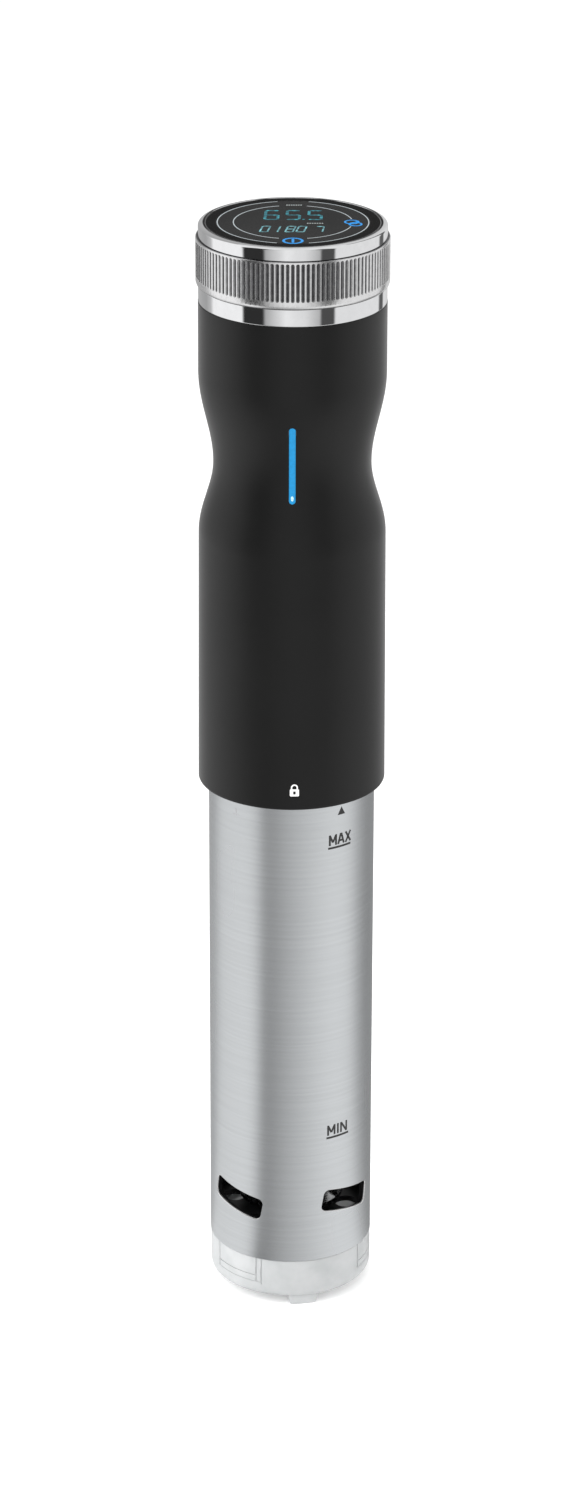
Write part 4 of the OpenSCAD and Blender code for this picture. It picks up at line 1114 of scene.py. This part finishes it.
def round_cad_nodes():
    for width, nodes in ROUNDED_NODES.items():
        for node in nodes:
            refined(node, width * MM)


def make_lever():
    """The clamp's lever, with grip grooves across the outer face of its thumb arm."""
    lever = refined("clamp_lever", 0.7 * MM)
    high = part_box("clamp_lever")[1]
    bend_y, bend_z = high.y - 0.6 * MM, high.z - 6 * MM
    arm_out, arm_down = 9.4, 30.5
    slope = arm_out / arm_down
    reach = high.x + 2 * MM
    cutters = []
    for i in range(6):
        down = (1.0 + 3.6 * i) * MM
        place = (-reach, bend_y - slope * down + 0.35 * MM, bend_z - down)
        cutters.append(prism("grip_groove", disc_outline(0.9 * MM, 16), place, (0, 1, 0), (0, 0, 1),
                             2 * reach))
    cut(lever, cutters, 40)


# ------------------------ studio


def make_floor():
    built = bmesh.new()
    corners = [built.verts.new(p) for p in ((-16, -16, 0), (16, -16, 0), (16, 16, 0), (-16, 16, 0))]
    built.faces.new(corners)
    material, tree, shader = new_material("floor_white")
    paper = noise(tree, coordinates(tree), 700.0, 2.0)
    settle(shader, Base_Color=mixed(tree, paper, grey(0.86), grey(0.88)), Roughness=0.9,
           Specular_IOR_Level=0.1, Emission_Color=grey(1.0), Emission_Strength=0.2)
    floor = from_bmesh("floor", built, material)
    floor.visible_glossy = False


def glow(name, positions):
    """Emitting material that follows the direction round the object; positions are (degrees, grey)."""
    material = bpy.data.materials.new(name)
    material.use_nodes = True
    tree = material.node_tree
    tree.nodes.clear()
    where = add(tree, "ShaderNodeTexCoord").outputs["Object"]
    split = add(tree, "ShaderNodeSeparateXYZ", {0: where})
    turn = maths(tree, "ARCTAN2", split.outputs[0], maths(tree, "MULTIPLY", split.outputs[1], -1.0))
    share = spread(tree, turn, 0.0, 1.0, -math.pi, math.pi)
    ramp = add(tree, "ShaderNodeValToRGB", {0: share})
    elements = ramp.color_ramp.elements
    while len(elements) > 1:
        elements.remove(elements[0])
    elements[0].position = (positions[0][0] + 180) / 360
    elements[0].color = grey(positions[0][1])
    for degrees, value in positions[1:]:
        elements.new((degrees + 180) / 360).color = grey(value)
    light = add(tree, "ShaderNodeEmission", {0: ramp.outputs[0]})
    add(tree, "ShaderNodeOutputMaterial", {0: light.outputs[0]})
    return material


WALL_GLOW = [(-180, 0.50), (-128, 0.40), (-116, 0.55), (-110, 1.0), (-63, 1.0), (-60, 0.03), (-35.5, 0.03),
             (-32, 0.45), (-8, 0.92), (14, 0.82), (32, 0.50), (34.5, 0.08), (49.8, 0.08), (52.3, 0.84),
             (125, 0.84), (129, 0.12), (138, 0.12), (142, 0.80), (180, 0.60)]
FLOOR_GLOW = [(-180, 0.40), (-128, 0.50), (-112, 0.86), (-54, 0.98), (-46, 0.85), (-37, 0.26), (-25, 0.36),
              (-10, 0.52), (12, 0.68), (36, 0.86), (60, 0.96), (84, 0.92), (104, 0.50), (122, 0.32),
              (180, 0.36)]
FLAG_GLOW = [(-180, 0.05), (180, 0.05)]


def tent_piece(name, built, positions):
    """Finishes a piece of the tent, which only reflections see."""
    piece = from_bmesh(name, built, glow(name + "_glow", positions))
    for rays in ("camera", "diffuse", "shadow", "transmission", "volume_scatter"):
        setattr(piece, "visible_" + rays, False)


def make_tent():
    """Light tent: a wall and a floor whose brightness changes round the object, and a dark flag behind it."""
    radius, high, floor_z = 0.62, 1.3, 0.2 * MM
    turns = [360 * i / 90 for i in range(90)]
    built = bmesh.new()
    skin(built, [[built.verts.new(point(radius, a, z)) for a in turns] for z in (0.0, high)])
    tent_piece("tent_wall", built, WALL_GLOW)
    built = bmesh.new()
    centre = built.verts.new((0, 0, floor_z))
    ring = [built.verts.new(point(radius, a, floor_z)) for a in turns]
    for here, there in zip(ring, ring[1:] + ring[:1]):
        built.faces.new((centre, here, there))
    tent_piece("tent_floor", built, FLOOR_GLOW)
    built = bmesh.new()
    built.faces.new([built.verts.new((x, 0.42, z)) for x, z in oblong(-0.06, 0.43, 0.12, 0.17)])
    tent_piece("tent_flag", built, FLAG_GLOW)


def area_light(name, place, target, size, power):
    data = bpy.data.lights.new(name, "AREA")
    data.shape = "RECTANGLE"
    data.size, data.size_y = size
    data.energy = power
    light = bpy.data.objects.new(name, data)
    light.location = place
    light.rotation_mode = "QUATERNION"
    light.rotation_quaternion = (Vector(target) - Vector(place)).to_track_quat("-Z", "Y")
    light.visible_glossy = False
    SCENE.collection.objects.link(light)


def make_lights():
    world = bpy.data.worlds.new("studio")
    world.use_nodes = True
    tree = world.node_tree
    seen = add(tree, "ShaderNodeLightPath").outputs["Is Camera Ray"]
    settle(tree.nodes["Background"], Color=grey(1.0), Strength=spread(tree, seen, 0.85, 0.96, 0.0, 1.0))
    SCENE.world = world
    middle = (0, 0, 0.2)
    area_light("top_softbox", (0.0, -0.3, 1.7), middle, (1.6, 1.6), 9)
    area_light("left_softbox", (-1.3, -0.5, 0.8), middle, (0.8, 1.4), 22)
    area_light("right_softbox", (1.3, -0.3, 0.8), middle, (0.8, 1.4), 8)


# ------------------------ build

DIAL_METAL = fluted_metal("dial_chrome", DIAL_R, 0.42 * MM)

make_shells()
make_light_guide()
make_band()
make_dial()
make_rim()
make_lens()
make_display()
make_sleeve()
make_marks()
make_cap()
make_heater()
round_cad_nodes()
make_lever()
make_floor()
make_tent()
make_lights()
